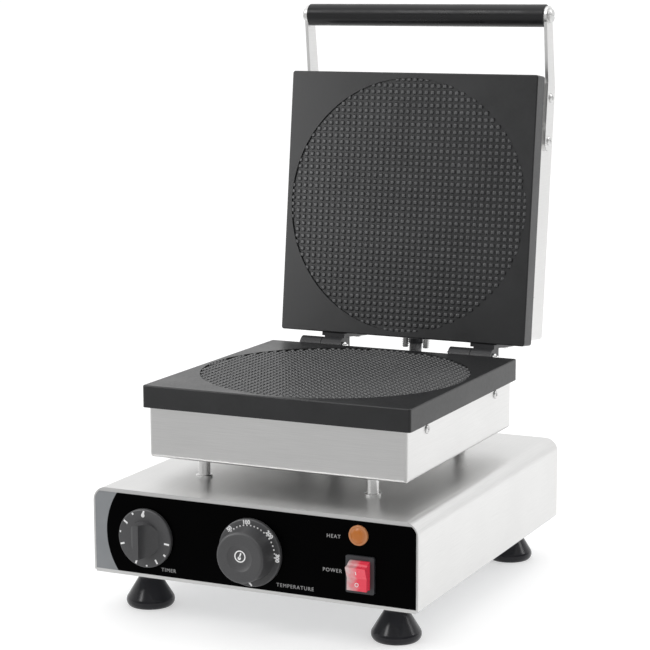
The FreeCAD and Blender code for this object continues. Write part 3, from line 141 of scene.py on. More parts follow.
# Materials
class Surface:
    """A node material with one principled shader, and short ways of adding to it."""

    def __init__(self, name, colour, roughness, metallic=0.0, **fixed):
        self.material = bpy.data.materials.new(name)
        self.material.use_nodes = True
        self.nodes = self.material.node_tree.nodes
        self.shader = self.nodes["Principled BSDF"]
        self.set("Base Color", (*colour, 1.0))
        self.set("Roughness", roughness)
        self.set("Metallic", metallic)
        for socket, value in fixed.items():
            self.set(socket.replace("_", " "), value)
        self.place = self.add("ShaderNodeTexCoord").outputs["Object"]

    def set(self, socket, value):
        self.shader.inputs[socket].default_value = value

    def add(self, kind, inputs=(), **settings):
        """A node with its settings, and its inputs set or linked by name or number."""
        node = self.nodes.new(kind)
        for key, value in settings.items():
            setattr(node, key, value)
        for key, value in dict(inputs).items():
            if isinstance(value, bpy.types.NodeSocket):
                self.material.node_tree.links.new(value, node.inputs[key])
            else:
                node.inputs[key].default_value = value
        return node

    def into(self, socket, value):
        self.material.node_tree.links.new(value, self.shader.inputs[socket])

    def noise(self, scale, stretch=(1, 1, 1), turn=0.0, detail=2.0):
        """Noise with so many grains a metre, drawn out along the axes where stretch is small."""
        mapping = self.add("ShaderNodeMapping", {"Vector": self.place, "Rotation": (turn, 0, 0),
                                                 "Scale": stretch})
        node = self.add("ShaderNodeTexNoise", {"Vector": mapping.outputs[0], "Scale": scale,
                                               "Detail": detail})
        return node.outputs["Fac"]

    def spread(self, value, low, high, centre=0.5, reach=0.22):
        """The value's usual range brought to run from low to high."""
        node = self.add("ShaderNodeMapRange", {"Value": value, "From Min": centre - reach,
                                               "From Max": centre + reach, "To Min": low,
                                               "To Max": high})
        return node.outputs["Result"]

    def blend(self, share, first, second):
        node = self.add("ShaderNodeMix", {"Factor": share, "A": first, "B": second})
        return node.outputs["Result"]

    def colours(self, share, first, second):
        node = self.add("ShaderNodeMix", data_type="RGBA")
        links = self.material.node_tree.links
        links.new(share, node.inputs["Factor"])
        for socket, colour in zip((6, 7), (first, second)):
            if isinstance(colour, bpy.types.NodeSocket):
                links.new(colour, node.inputs[socket])
            else:
                node.inputs[socket].default_value = (*colour, 1.0)
        return node.outputs[2]

    def relief(self, height, depth, strength=1.0, below=None):
        """Fine relief of so many metres; below is the relief that it lies on."""
        node = self.add("ShaderNodeBump", {"Height": height, "Distance": depth,
                                           "Strength": strength})
        if below is not None:
            self.material.node_tree.links.new(below, node.inputs["Normal"])
        self.into("Normal", node.outputs["Normal"])
        return node.outputs["Normal"]


def shaded(colour, amount):
    return tuple(min(1.0, c * amount) for c in colour)


def brushed_steel(name, turn=0.0, front_grain=True):
    """Stainless sheet with a fine grain: along X on faces to the front and rear, along Y elsewhere."""
    colour = (0.735, 0.733, 0.727)
    s = Surface(name, colour, 0.33, 1.0)
    grain_y = s.noise(2600, (1, 0.012, 1), turn)
    if front_grain:
        grain_x = s.noise(2600, (0.012, 1, 1), turn)
        coords = next(n for n in s.nodes if n.type == "TEX_COORD")
        mapping = s.add("ShaderNodeMapping", {"Vector": coords.outputs["Normal"],
                                              "Rotation": (turn, 0, 0)})
        split = s.add("ShaderNodeSeparateXYZ", {"Vector": mapping.outputs[0]})
        facing = s.add("ShaderNodeMath", {0: split.outputs["Y"]}, operation="ABSOLUTE")
        grain = s.blend(s.spread(facing.outputs[0], 0, 1, 0.7, 0.1), grain_y, grain_x)
    else:
        grain = grain_y
    cloud = s.noise(14, detail=3)
    tone = s.colours(s.spread(grain, 0, 1), shaded(colour, 0.93), shaded(colour, 1.04))
    s.into("Base Color", s.colours(s.spread(cloud, 0.0, 0.35), tone, shaded(colour, 0.9)))
    worn = s.blend(0.3, s.spread(grain, 0.27, 0.40), s.spread(cloud, 0.26, 0.42))
    s.into("Roughness", worn)
    s.relief(grain, 0.012 * MM, 0.5)
    return s.material


def zinc_sheet():
    colour = (0.52, 0.53, 0.54)
    s = Surface("zinc_sheet", colour, 0.45, 0.9)
    cells = s.add("ShaderNodeTexVoronoi", {"Vector": s.place, "Scale": 130})
    grey = s.add("ShaderNodeRGBToBW", {"Color": cells.outputs["Color"]}).outputs[0]
    s.into("Base Color", s.colours(grey, shaded(colour, 0.85), shaded(colour, 1.12)))
    s.into("Roughness", s.spread(grey, 0.36, 0.52, 0.5, 0.5))
    return s.material


def turned_steel(name, colour, low, high, scale=900):
    """Turned or drawn metal: fine marks, and a slight unevenness in its shine."""
    s = Surface(name, colour, (low + high) / 2, 1.0)
    marks = s.noise(scale, (1, 0.15, 0.3))
    haze = s.noise(60)
    s.into("Roughness", s.blend(0.5, s.spread(marks, low, high), s.spread(haze, low, high)))
    s.into("Base Color", s.colours(s.spread(haze, 0, 1), shaded(colour, 0.92), colour))
    s.relief(marks, 0.006 * MM, 0.4)
    return s.material


def coated_casting(name, colour, low, high, grain=0.035, scale=1500, **fixed):
    """A coated cast surface: a fine pebble, patches of shine, and dust-light wear."""
    s = Surface(name, colour, (low + high) / 2, **fixed)
    pebble = s.noise(scale, detail=4)
    patch = s.noise(28, detail=4)
    fine = s.noise(380, detail=3)
    s.into("Roughness", s.blend(0.5, s.spread(patch, low, high), s.spread(fine, low, high)))
    tone = s.colours(s.spread(patch, 0, 1), shaded(colour, 0.82), shaded(colour, 1.2))
    s.into("Base Color", s.colours(s.spread(fine, 0, 0.3), tone, shaded(colour, 1.45)))
    s.relief(pebble, grain * MM, 0.45)
    return s.material


def moulded(name, colour, low, high, grain=0.02, scale=1100, **fixed):
    """Moulded plastic or rubber: an almost even colour, a soft grain and handling marks."""
    s = Surface(name, colour, (low + high) / 2, **fixed)
    grainy = s.noise(scale, detail=3)
    handled = s.noise(55, detail=4)
    s.into("Roughness", s.spread(handled, low, high))
    s.into("Base Color", s.colours(s.spread(grainy, 0, 1), shaded(colour, 0.9),
                                   shaded(colour, 1.1)))
    s.relief(grainy, grain * MM, 0.35)
    return s.material


def film(name, colour, roughness, level):
    """Printed film on the panel: nearly flat, with a faint ripple from the sheet under it."""
    s = Surface(name, colour, roughness, Specular_IOR_Level=level)
    ripple = s.noise(45, detail=2)
    s.into("Roughness", s.spread(ripple, roughness - 0.04, roughness + 0.06))
    s.into("Base Color", s.colours(s.spread(ripple, 0, 1), shaded(colour, 0.95),
                                   shaded(colour, 1.05)))
    s.relief(ripple, 0.02 * MM, 0.3)
    return s.material


def lit_plastic(name, side, bright, glow, strength, from_x, to_x):
    """Translucent plastic lit from behind: paler towards one side as a painted highlight, and cloudy within."""
    s = Surface(name, bright, 0.2, Coat_Weight=0.6, Coat_Roughness=0.08,
                Emission_Strength=strength)
    axis = s.add("ShaderNodeSeparateXYZ", {"Vector": s.place}).outputs["X"]
    cloud = s.noise(190, (1, 0.4, 1), detail=3)
    wander = s.add("ShaderNodeMath", {0: s.spread(cloud, -0.0035, 0.0035), 1: axis},
                   operation="ADD").outputs[0]
    middle, reach = (from_x + to_x) / 2, abs(to_x - from_x) / 2
    share = s.spread(wander, 0, 1, middle, reach)
    # The pale colour is a painted highlight, in the base colour and in the glow.
    s.into("Base Color", s.colours(share, side, bright))
    s.into("Emission Color", s.colours(share, shaded(side, 0.7), glow))
    s.into("Roughness", s.spread(cloud, 0.14, 0.3))
    return s.material


def amber_lens():
    """Translucent amber, deeper in colour at its middle; its paler, whiter rim is a painted reflection."""
    rim, middle = (0.42, 0.16, 0.055), (0.40, 0.12, 0.016)
    s = Surface("amber_lens", middle, 0.2, Emission_Strength=0.06)
    low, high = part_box("lamp_lens")
    centre = (low + high) / 2
    mapping = s.add("ShaderNodeMapping", {"Vector": s.place, "Location": -centre})
    length = s.add("ShaderNodeVectorMath", {0: mapping.outputs[0]}, operation="LENGTH")
    radius = (high.x - low.x) / 2
    share = s.spread(length.outputs["Value"], 0, 1, radius * 0.72, radius * 0.16)
    cloud = s.noise(420, detail=3)
    # The rim's paler colour and paler glow are a painted reflection.
    s.into("Base Color", s.colours(share, middle, rim))
    s.into("Emission Color", s.colours(share, (0.9, 0.3, 0.03), (0.9, 0.5, 0.28)))
    s.into("Roughness", s.spread(cloud, 0.12, 0.26))
    s.relief(cloud, 0.05 * MM, 0.4)
    return s.material


def fibre_blanket():
    colour = (0.86, 0.85, 0.81)
    s = Surface("fibre_blanket", colour, 0.95, Sheen_Weight=0.4)
    fibres = s.noise(700, (1, 0.2, 1), detail=6)
    s.into("Base Color", s.colours(s.spread(fibres, 0, 1), shaded(colour, 0.8), colour))
    s.relief(fibres, 0.6 * MM, 0.8)
    return s.material


def woven_sleeve():
    colour = (0.14, 0.14, 0.143)
    s = Surface("woven_sleeve", colour, 0.6, Sheen_Weight=0.25, Sheen_Roughness=0.4)
    strands = s.noise(2400, (1, 1, 0.25), detail=3)
    s.into("Base Color", s.colours(s.spread(strands, 0, 1), shaded(colour, 0.6),
                                   shaded(colour, 2.1)))
    s.into("Roughness", s.spread(strands, 0.45, 0.75))
    s.relief(strands, 0.05 * MM, 0.6)
    return s.material


def paint(name, colour):
    s = Surface(name, colour, 0.5)
    speck = s.noise(2500)
    s.into("Roughness", s.spread(speck, 0.42, 0.58))
    s.into("Base Color", s.colours(s.spread(speck, 0, 1), shaded(colour, 0.9), colour))
    return s.material


def dress(material, *names):
    """Puts the material on these CAD nodes."""
    for name in names:
        NODES[name].data.materials.clear()
        NODES[name].data.materials.append(material)


def in_slot(slot):
    return [p["node"] for p in frame["record"]["subparts"] if p["material_slot"] == slot]


def dress_slots():
    steel = brushed_steel("brushed_steel")
    lid_steel = brushed_steel("brushed_steel_lid", LID_OPEN)
    for node in in_slot("brushed_steel_sheet"):
        dress(lid_steel if node == "upper_casing" else steel, node)
    dress(zinc_sheet(), *in_slot("galvanised_sheet"))
    dress(turned_steel("turned_steel", (0.9, 0.9, 0.895), 0.12, 0.3), *in_slot("bright_steel"))
    dress(brushed_steel("arm_steel", LID_OPEN, False), "arm_left", "arm_right")
    dress(turned_steel("screw_steel", (0.66, 0.66, 0.655), 0.22, 0.4), *in_slot("screw_steel"))
    dress(coated_casting("nonstick_plate", (0.012, 0.0123, 0.013), 0.30, 0.42,
                         Specular_IOR_Level=0.38), *in_slot("nonstick_cast_plate"))
    dress(coated_casting("black_casting", (0.022, 0.022, 0.024), 0.32, 0.5, 0.06, 900),
          *in_slot("black_casting"))
    dress(film("black_film", (0.0006, 0.0006, 0.0007), 0.3, 0.02), *in_slot("black_overlay"))
    dress(film("grey_film", (0.23, 0.24, 0.25), 0.35, 0.3), *in_slot("grey_overlay"))
    rubber = moulded("glossy_rubber", (0.004, 0.004, 0.007), 0.18, 0.3, 0.012,
                     Specular_IOR_Level=0.4)
    dress(rubber, *in_slot("black_rubber"))
    dress(moulded("knob_plastic", (0.048, 0.048, 0.05), 0.36, 0.5, 0.02), *in_slot("knob_plastic"))
    dress(moulded("switch_plastic", (0.035, 0.036, 0.04), 0.3, 0.45), *in_slot("switch_plastic"))
    dress(moulded("grip_plastic", (0.008, 0.008, 0.009), 0.26, 0.4, 0.03, 700,
                  Specular_IOR_Level=0.35), *in_slot("grip_plastic"))
    dress(turned_steel("heated_sheath", (0.33, 0.29, 0.24), 0.3, 0.5), *in_slot("heater_sheath"))
    dress(turned_steel("copper", (0.78, 0.42, 0.27), 0.2, 0.4), *in_slot("copper_capillary"))
    dress(moulded("control_body", (0.68, 0.64, 0.56), 0.4, 0.6), *in_slot("control_body"))
    dress(fibre_blanket(), *in_slot("fibre_blanket"))
    dress(woven_sleeve(), *in_slot("lead_sleeve"))
    low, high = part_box("power_rocker")
    width = high.x - low.x
    # Pale painted highlight on the rocker's left part, red on the rest.
    dress(lit_plastic("lit_rocker_painted_highlight", (0.50, 0.36, 0.36), (0.50, 0.022, 0.045), (1.0, 0.05, 0.1), 0.27,
                      low.x + 0.05 * width, low.x + 0.62 * width), "power_rocker")
    dress(amber_lens(), "lamp_lens")


# Making pieces
def in_scene(name, data):
    """A new object with this data, in the scene."""
    made = bpy.data.objects.new(name, data)
    bpy.context.scene.collection.objects.link(made)
    return made


def centre_of(node):
    low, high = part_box(node)
    return (low + high) / 2


def round_points(radius, count):
    return [(radius * math.cos(a), radius * math.sin(a))
            for a in (2 * math.pi * k / count for k in range(count))]


def piece(name, mesh, material, body, smooth=False):
    """A mesh made into a piece that rides on a body."""
    mesh.name = name
    mesh.materials.clear()
    mesh.materials.append(material)
    if smooth:
        mesh.shade_smooth()
    made = in_scene(name, mesh)
    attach(made, body)
    return made


def mesh_of(points, faces):
    mesh = bpy.data.meshes.new("made")
    mesh.from_pydata([tuple(p) for p in points], [], faces)
    mesh.update()
    return mesh


def lid_opened():
    """Takes the shut lid to where it rests, open."""
    return (Matrix.Translation(HINGE) @ Matrix.Rotation(-LID_OPEN, 4, "X")
            @ Matrix.Translation(-HINGE))


# Baking grids
def nub_ring(half, height):
    """A square's outline with its corners cut, at a height."""
    short = half * (1 - NUB_CORNER)
    corners = [(half, short), (short, half), (-short, half), (-half, short)]
    corners += [(-x, -y) for x, y in corners]
    return [Vector((x * MM, y * MM, height * MM)) for x, y in corners]


def grid_mesh():
    """Small square nubs that fill a round field, about its middle at the height of its floor."""
    rings = [nub_ring(half, height) for half, height in NUB_SIDES]
    around = len(rings[0])
    limit = FIELD_R - 0.25 * MM
    count = int(FIELD_R / NUB_PITCH) + 1
    points, faces = [], []
    for i in range(-count, count):
        for j in range(-count, count):
            middle = Vector(((i + 0.5) * NUB_PITCH, (j + 0.5) * NUB_PITCH, 0))
            if middle.length > FIELD_R + 0.4 * MM:
                continue
            first = len(points)
            for ring in rings:
                for corner in ring:
                    point = middle + corner
                    flat = point.xy.length
                    if flat > limit:
                        point.x *= limit / flat
                        point.y *= limit / flat
                    points.append(point)
            for level in range(len(rings) - 1):
                low = first + level * around
                for k in range(around):
                    after = (k + 1) % around
                    faces.append((low + k, low + after, low + around + after, low + around + k))
            faces.append(tuple(range(first + around - 1, first - 1, -1)))
            top = first + (len(rings) - 1) * around
            faces.append(tuple(range(top, top + around)))
    mesh = mesh_of(points, faces)
    underside = (len(rings) - 1) * around
    # The lowest sides and the underside take the second material, a darker copy of the coating: painted shade in
    # the gaps.
    for i, face in enumerate(mesh.polygons):
        place = i % (underside + 2)
        face.material_index = 1 if place < NUB_SHADED_RINGS * around or place == underside else 0
    return mesh


def baking_grids():
    # The crowns are a lighter copy and the lowest sides a darker copy of one coating: painted light on the crowns,
    # painted shade in the gaps.
    crown = coated_casting("nub_crown_painted_light", (0.036, 0.0365, 0.038), 0.27, 0.38,
                           Specular_IOR_Level=0.6)
    side = coated_casting("nub_side_painted_shade", (0.005, 0.0052, 0.0055), 0.5, 0.65,
                          Specular_IOR_Level=0.15)
    lower = grid_mesh()
    lower.transform(Matrix.Translation((PLATE_CENTRE.x, PLATE_CENTRE.y,
                                        PLATE_HIGH.z - FIELD_DEPTH)))
    piece("lower_grid", lower, crown, "base")
    lower.materials.append(side)
    upper = grid_mesh()
    turned = Matrix.Translation((PLATE_CENTRE.x, PLATE_CENTRE.y, LID_FACE_Z + FIELD_DEPTH))
    upper.transform(lid_opened() @ turned @ Matrix.Rotation(math.pi, 4, "Y"))
    piece("upper_grid", upper, crown, "lid")
    upper.materials.append(side)


# Printed marks
def stroke(points, wide, thick):
    """A flat mark in the XZ plane with its back at Y 0, from its outline or from a line and a width."""
    if wide:
        start, end = (Vector(p) for p in points)
        across = Vector((start.y - end.y, end.x - start.x)).normalized() * wide / 2
        points = [start + across, end + across, end - across, start - across]
    count = len(points)
    solid = [(x, 0, z) for x, z in points] + [(x, -thick, z) for x, z in points]
    faces = [tuple(range(count)), tuple(range(2 * count - 1, count - 1, -1))]
    faces += [(k, k + count, (k + 1) % count + count, (k + 1) % count) for k in range(count)]
    return solid, faces


def ring_mark(outer, inner, centre, thick, count=48):
    points, faces = [], []
    for y in (0, -thick):
        for radius in (outer, inner):
            points += [(centre[0] + x, y, centre[1] + z) for x, z in round_points(radius, count)]
    for k in range(count):
        n = (k + 1) % count
        a, b, c, d = (block * count for block in range(4))
        faces += [(a + k, b + k, b + n, a + n), (c + k, c + n, d + n, d + k),
                  (a + k, a + n, c + n, c + k), (b + k, d + k, d + n, b + n)]
    return points, faces


def disc_mark(radius, centre, thick, count=16):
    edge = [(centre[0] + x, centre[1] + z) for x, z in round_points(radius, count)]
    return stroke(edge, 0, thick)


def gather(parts):
    """One mesh from several lists of points and faces."""
    points, faces = [], []
    for more_points, more_faces in parts:
        faces += [tuple(i + len(points) for i in face) for face in more_faces]
        points += [tuple(p) for p in more_points]
    mesh = mesh_of(points, faces)
    work = bmesh.new()
    work.from_mesh(mesh)
    bmesh.ops.recalc_face_normals(work, faces=work.faces)
    work.to_mesh(mesh)
    work.free()
    return mesh


def words(text, height, centre, thick=PRINT, turn=0.0, spacing=1.0, bold=0.0):
    """Lettering that stands in the XZ plane about a centre, as points and faces."""
    curve = bpy.data.curves.new("words", "FONT")
    curve.body = text
    curve.size = height / 0.7      # the font's capitals are 0.7 of its size
    curve.align_x = "CENTER"
    curve.align_y = "CENTER"
    curve.extrude = thick / 2
    curve.resolution_u = 3
    curve.space_character = spacing
    curve.offset = bold
    shown = bpy.data.objects.new("words", curve)
    mesh = bpy.data.meshes.new_from_object(shown)
    bpy.data.objects.remove(shown)
    upright = (Matrix.Translation((centre[0], -thick / 2, centre[1]))
               @ Matrix.Rotation(-turn, 4, "Y") @ Matrix.Rotation(math.pi / 2, 4, "X"))
    mesh.transform(upright)
    result = [v.co.copy() for v in mesh.vertices], [tuple(f.vertices) for f in mesh.polygons]
    bpy.data.meshes.remove(mesh)
    return result


def polar(angle, radius):
    return radius * math.cos(math.radians(angle)), radius * math.sin(math.radians(angle))


def tick(angle, inner, outer, wide):
    return stroke([polar(angle, inner), polar(angle, outer)], wide, PRINT)


def timer_marks(white):
    """Minutes round the timer's skirt: long and short strokes by turns, and a drop at nought."""
    centre = centre_of("timer_knob")
    marks = [tick(TIMER_TOP + i * TIMER_STEP, inner * MM, TIMER_OUTER, 1.55 * MM)
             for i, inner in TIMER_STROKES]
    drop = [(1.5, 24.0), (1.2, 22.2)]
    drop += [(1.7 * math.cos(a) - 0.3, 20.1 + 1.9 * math.sin(a))
             for a in (math.radians(50 - 28 * k) for k in range(11))]
    drop += [(-0.9, 22.2), (0.1, 24.1)]
    turn = math.radians(90 - TIMER_TOP)
    marks.append(stroke([((x * math.cos(turn) + z * math.sin(turn)) * MM,
                          (z * math.cos(turn) - x * math.sin(turn)) * MM) for x, z in drop],
                        0, PRINT))
    mesh = gather(marks)
    mesh.transform(Matrix.Translation((centre.x, SKIRT_Y, centre.z)))
    piece("timer_marks", mesh, white, "timer_dial")


def thermostat_marks(white):
    """Temperatures and fine dots round the thermostat's skirt, and a plain sign on its cap."""
    centre = centre_of("thermostat_knob")
    figures = ((134, "50"), (95, "100"), (43, "200"), (-3, "300"))
    marks = [words(text, 3.3 * MM, polar(angle, 25.9 * MM), turn=math.radians(angle - 90),
                   bold=0.26 * MM) for angle, text in figures]
    dots = 17
    marks += [disc_mark(0.78 * MM, polar(134 - 137 * i / dots, 23.5 * MM), PRINT, 10)
              for i in range(dots + 1)]
    low, high = polar(-85, 27.6 * MM), polar(-95, 23.3 * MM)
    marks.append(stroke([high, low], 1.5 * MM, PRINT))
    marks.append(disc_mark(0.6 * MM, polar(236, 25.4 * MM), PRINT))
    mesh = gather(marks)
    mesh.transform(Matrix.Translation((centre.x, SKIRT_Y, centre.z)))
    piece("thermostat_marks", mesh, white, "thermostat_dial")
    sign = [ring_mark(5.1 * MM, 4.1 * MM, (0, 0), PRINT),
            stroke([(-0.5 * MM, -1.0 * MM), (0.8 * MM, 2.9 * MM)], 1.3 * MM, PRINT),
            disc_mark(1.5 * MM, (-0.6 * MM, -1.5 * MM), PRINT, 20)]
    mesh = gather(sign)
    dish_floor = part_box("thermostat_knob")[0].y + 1.6 * MM
    mesh.transform(Matrix.Translation((centre.x, dish_floor, centre.z + 1.2 * MM)))
    piece("thermostat_sign", mesh, white, "thermostat_dial")


def panel_words(white):
    """Plain words beside the controls."""
    timer, thermostat, lamp, rocker = (
        centre_of(n) for n in ("timer_knob", "thermostat_knob", "lamp_lens", "power_rocker"))
    places = (("TIMER", (timer.x + 20.8 * MM, timer.z - 26.4 * MM)),
              ("TEMPERATURE", (thermostat.x + 40.0 * MM, thermostat.z - 25.2 * MM)),
              ("HEAT", (lamp.x - 22.4 * MM, lamp.z - 3.4 * MM)),
              ("POWER", (rocker.x - 25.5 * MM, rocker.z + 0.2 * MM)))
    mesh = gather([words(text, WORD_HEIGHT, at, spacing=1.22) for text, at in places])
    mesh.transform(Matrix.Translation((0, OVERLAY_Y, 0)))
    piece("panel_words", mesh, white, "base")


# Screw heads with a cross recess
def islands(node):
    """The box of each separate solid in a CAD node, in an order that is the same in every run."""
    work = bmesh.new()
    work.from_mesh(NODES[node].data)
    bmesh.ops.remove_doubles(work, verts=work.verts, dist=1e-6)
    left = set(work.verts)
    boxes = []
    while left:
        seed = left.pop()
        found, edge = [seed], [seed]
        while edge:
            vertex = edge.pop()
            for link in vertex.link_edges:
                other = link.other_vert(vertex)
                if other in left:
                    left.remove(other)
                    found.append(other)
                    edge.append(other)
        places = np.array([v.co for v in found])
        boxes.append((Vector(places.min(0)), Vector(places.max(0))))
    work.free()
    return sorted(boxes, key=lambda box: (*box[0], *box[1]))


def head_mesh(radius, height, recess):
    """A domed head with its underside at Z 0 and a cross cut into its crown."""
    profile = [(0, 0), (radius, 0), (radius, height * 0.25)]
    profile += [(radius * math.cos(a), height * (0.25 + 0.75 * math.sin(a)))
                for a in (math.radians(15 * k) for k in range(1, 6))]
    profile.append((0, height))
    count = 40
    points = [(0, 0, 0), (0, 0, height)]
    faces = []
    for r, z in profile[1:-1]:
        points += [(x, y, z) for x, y in round_points(r, count)]
    rows = len(profile) - 2
    for k in range(count):
        n = (k + 1) % count
        faces.append((0, 2 + n, 2 + k))
        for row in range(rows - 1):
            low = 2 + row * count
            faces.append((low + k, low + n, low + count + n, low + count + k))
        last = 2 + (rows - 1) * count
        faces.append((last + k, last + n, 1))
    head = in_scene("head", mesh_of(points, faces))
    bars = []
    half = recess * CROSS_HALF
    floor = height * CROSS_FLOOR
    for turn in (0, math.pi / 2):
        c, s = math.cos(turn), math.sin(turn)
        corners = [(-recess, -half), (recess, -half), (recess, half), (-recess, half)]
        flat = [(x * c - y * s, x * s + y * c) for x, y in corners]
        low = [(x * CROSS_TAPER[0], y * CROSS_TAPER[1], floor) for x, y in flat]
        high = [(x, y, height + 1 * MM) for x, y in flat]
        sides = [(k, (k + 1) % 4, (k + 1) % 4 + 4, k + 4) for k in range(4)]
        bars.append((low + high, [(3, 2, 1, 0), (4, 5, 6, 7)] + sides))
    cutters = [in_scene("cutter", gather([bar])) for bar in bars]
    for cutter in cutters:
        cut = head.modifiers.new("cross", "BOOLEAN")
        cut.operation = "DIFFERENCE"
        cut.object = cutter
        cut.solver = "EXACT"
    bpy.context.view_layer.update()
    shaped = bpy.data.meshes.new_from_object(head.evaluated_get(
        bpy.context.evaluated_depsgraph_get()))
    for made in [head] + cutters:
        bpy.data.objects.remove(made)
    return shaped


def heads_at(name, places, head, material, body, replaced):
    """Copies of a head joined into one piece: each place is a point and the way it faces."""
    parts = []
    for i, (at, facing) in enumerate(places):
        turn = facing.to_track_quat("Z", "Y").to_matrix().to_4x4()
        place = Matrix.Translation(at) @ turn @ Matrix.Rotation(0.6 + 1.1 * i, 4, "Z")
        parts.append(([place @ v.co for v in head.vertices],
                      [tuple(f.vertices) for f in head.polygons]))
    made = piece(name, gather(parts), material, body)
    if replaced:
        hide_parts(replaced)
    return made


def side_places(boxes, height):
    """Screws that run across: each one's middle, under its head, on the left or right side."""
    places = []
    for low, high in boxes:
        size = high - low
        if size.x > max(size.y, size.z):
            side = math.copysign(1, low.x + high.x)
            x = high.x - height if side > 0 else low.x + height
            places.append((Vector((x, (low.y + high.y) / 2, (low.z + high.z) / 2)),
                           Vector((side, 0, 0))))
    return places


def screw_heads():
    steel = turned_steel("screw_head_steel", (0.66, 0.66, 0.655), 0.2, 0.38)
    m4_height = 1.8 * MM
    arm_height = 2.2 * MM
    m4 = head_mesh(3.8 * MM, m4_height, 2.3 * MM)
    arm = head_mesh(4.4 * MM, arm_height, 2.6 * MM)
    heads_at("arm_screw_heads", side_places(islands("arm_screws"), arm_height), arm, steel,
             "lid", "arm_screws")
    lower = islands("lower_screws")
    places = side_places(lower, m4_height)
    for low, high in lower:
        size = high - low
        if size.y > max(size.x, size.z):
            places.append((Vector(((low.x + high.x) / 2, high.y - m4_height,
                                   (low.z + high.z) / 2)), Vector((0, 1, 0))))
    heads_at("lower_screw_heads", places, m4, steel, "base", "lower_screws")
    upper = islands("lid_screws")
    places = side_places(upper, m4_height)
    rearward = lid_opened().to_3x3() @ Vector((0, 1, 0))
    shut = lid_opened().inverted()
    for low, high in upper:
        size = high - low
        middle = (low + high) / 2
        from_hinge = shut @ middle - HINGE
        hinge_screw = from_hinge.y > HINGE_SCREWS_FROM and abs(middle.x) > HINGE_SCREWS_OUT
        if size.x < max(size.y, size.z) and hinge_screw:
            at = shut @ middle
            at.y = PLATE_HIGH.y + LEAF_T
            places.append((lid_opened() @ at, rearward))
    heads_at("lid_screw_heads", places, m4, steel, "lid", "lid_screws")


# Lid lead
def lead_route():
    """The lead's route from inside the lower casing to its clamp on the open lid, as in CAD."""
    rows = ((87.68, 150.0), (111.68, 150.0), (130.08, 148.7), (142.88, 152.9), (153.18, 161.6),
            (159.55, 173.5), (161.18, 187.41))
    return [Vector((0, y * MM, z * MM)) for y, z in rows]


def smooth_line(points):
    """Points read from a NURBS line that has these for its control points."""
    curve = bpy.data.curves.new("route", "CURVE")
    curve.dimensions = "3D"
    curve.resolution_u = 24
    spline = curve.splines.new("NURBS")
    spline.points.add(len(points) - 1)
    for place, point in zip(spline.points, points):
        place.co = (*point, 1)
    spline.order_u = 3
    spline.use_endpoint_u = True
    shown = bpy.data.objects.new("route", curve)
    mesh = bpy.data.meshes.new_from_object(shown)
    line = [v.co.copy() for v in mesh.vertices]
    bpy.data.objects.remove(shown)
    return line


def even_steps(line, step):
    """The line's points again, a step apart."""
    lengths = [0.0]
    for a, b in zip(line, line[1:]):
        lengths.append(lengths[-1] + (b - a).length)
    count = round(lengths[-1] / step)
    steps = np.linspace(0, lengths[-1], count + 1)
    columns = [np.interp(steps, lengths, [p[i] for p in line]) for i in range(3)]
    return [Vector(p) for p in zip(*columns)], steps


def lid_lead(material):
    """The lead's braided sleeve: strands wound both ways round the tube, over and under."""
    low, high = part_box("lid_lead")
    radius = (high.x - low.x) / 2
    line, steps = even_steps(smooth_line(lead_route()), BRAID_STEP)
    around = BRAID_AROUND
    points, faces = [], []
    for i, at in enumerate(line):
        ahead = (line[min(i + 1, len(line) - 1)] - line[max(i - 1, 0)]).normalized()
        side = Vector((1, 0, 0))
        up = side.cross(ahead)
        for k in range(around):
            a = 2 * math.pi * k / around
            first = math.cos(BRAID_STRANDS * a + BRAID_STRANDS * BRAID_LAY * steps[i] / 2)
            second = math.cos(BRAID_STRANDS * a - BRAID_STRANDS * BRAID_LAY * steps[i] / 2)
            r = radius - BRAID_RELIEF * (1 - max(first, second)) * 0.7
            points.append(at + (side * math.cos(a) + up * math.sin(a)) * r)
    for i in range(len(line) - 1):
        for k in range(around):
            n = (k + 1) % around
            faces.append((i * around + k, i * around + n, (i + 1) * around + n,
                          (i + 1) * around + k))
    last = (len(line) - 1) * around
    faces.append(tuple(range(around - 1, -1, -1)))
    faces.append(tuple(range(last, last + around)))
    mesh = mesh_of(points, faces)
    mesh.name = "lead_sleeve"
    mesh.materials.append(material)
    mesh.shade_smooth()
    made = in_scene("lead_sleeve", mesh)
    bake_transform(made)
    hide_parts("lid_lead")


# Rocker's signs
def rocker_signs(white):
    """A bar on the pressed half of the rocker and a ring on the other, standing just proud."""
    joint = next(j for j in frame["joints"] if j["name"] == "rocker_tilt")
    pivot = Vector(joint["pos_m"])
    level = Matrix.Translation(pivot) @ Matrix.Rotation(math.radians(10), 4, "X")
    face_out = 8.2 * MM            # middle of the paddle's face in front of its pivot
    facet = math.radians(12)
    sign_at = 5.2 * MM             # along each half of the face, from its middle
    bar = stroke([(0, -1.5 * MM), (0, 1.5 * MM)], 0.6 * MM, PRINT)
    ring = ring_mark(1.7 * MM, 1.2 * MM, (0, 0), PRINT, 28)
    parts = []
    for half, (points, faces) in ((1, bar), (-1, ring)):
        place = (level @ Matrix.Translation((0, -face_out, 0))
                 @ Matrix.Rotation(half * facet, 4, "X")
                 @ Matrix.Translation((0, 0, half * sign_at)))
        parts.append(([place @ Vector(p) for p in points], faces))
    piece("rocker_signs", gather(parts), white, "power_switch")


# Stage
def pale_floor():
    count = 64
    rim = [(x, y, 0) for x, y in round_points(FLOOR_R, count)]
    floor = in_scene("floor", mesh_of(rim, [tuple(range(count))]))
    s = Surface("pale_floor", (0.62, 0.62, 0.62), 0.6, Specular_IOR_Level=0.2,
                Emission_Color=(1.0, 1.0, 1.0, 1.0), Emission_Strength=0.46)
    floor.data.materials.append(s.material)


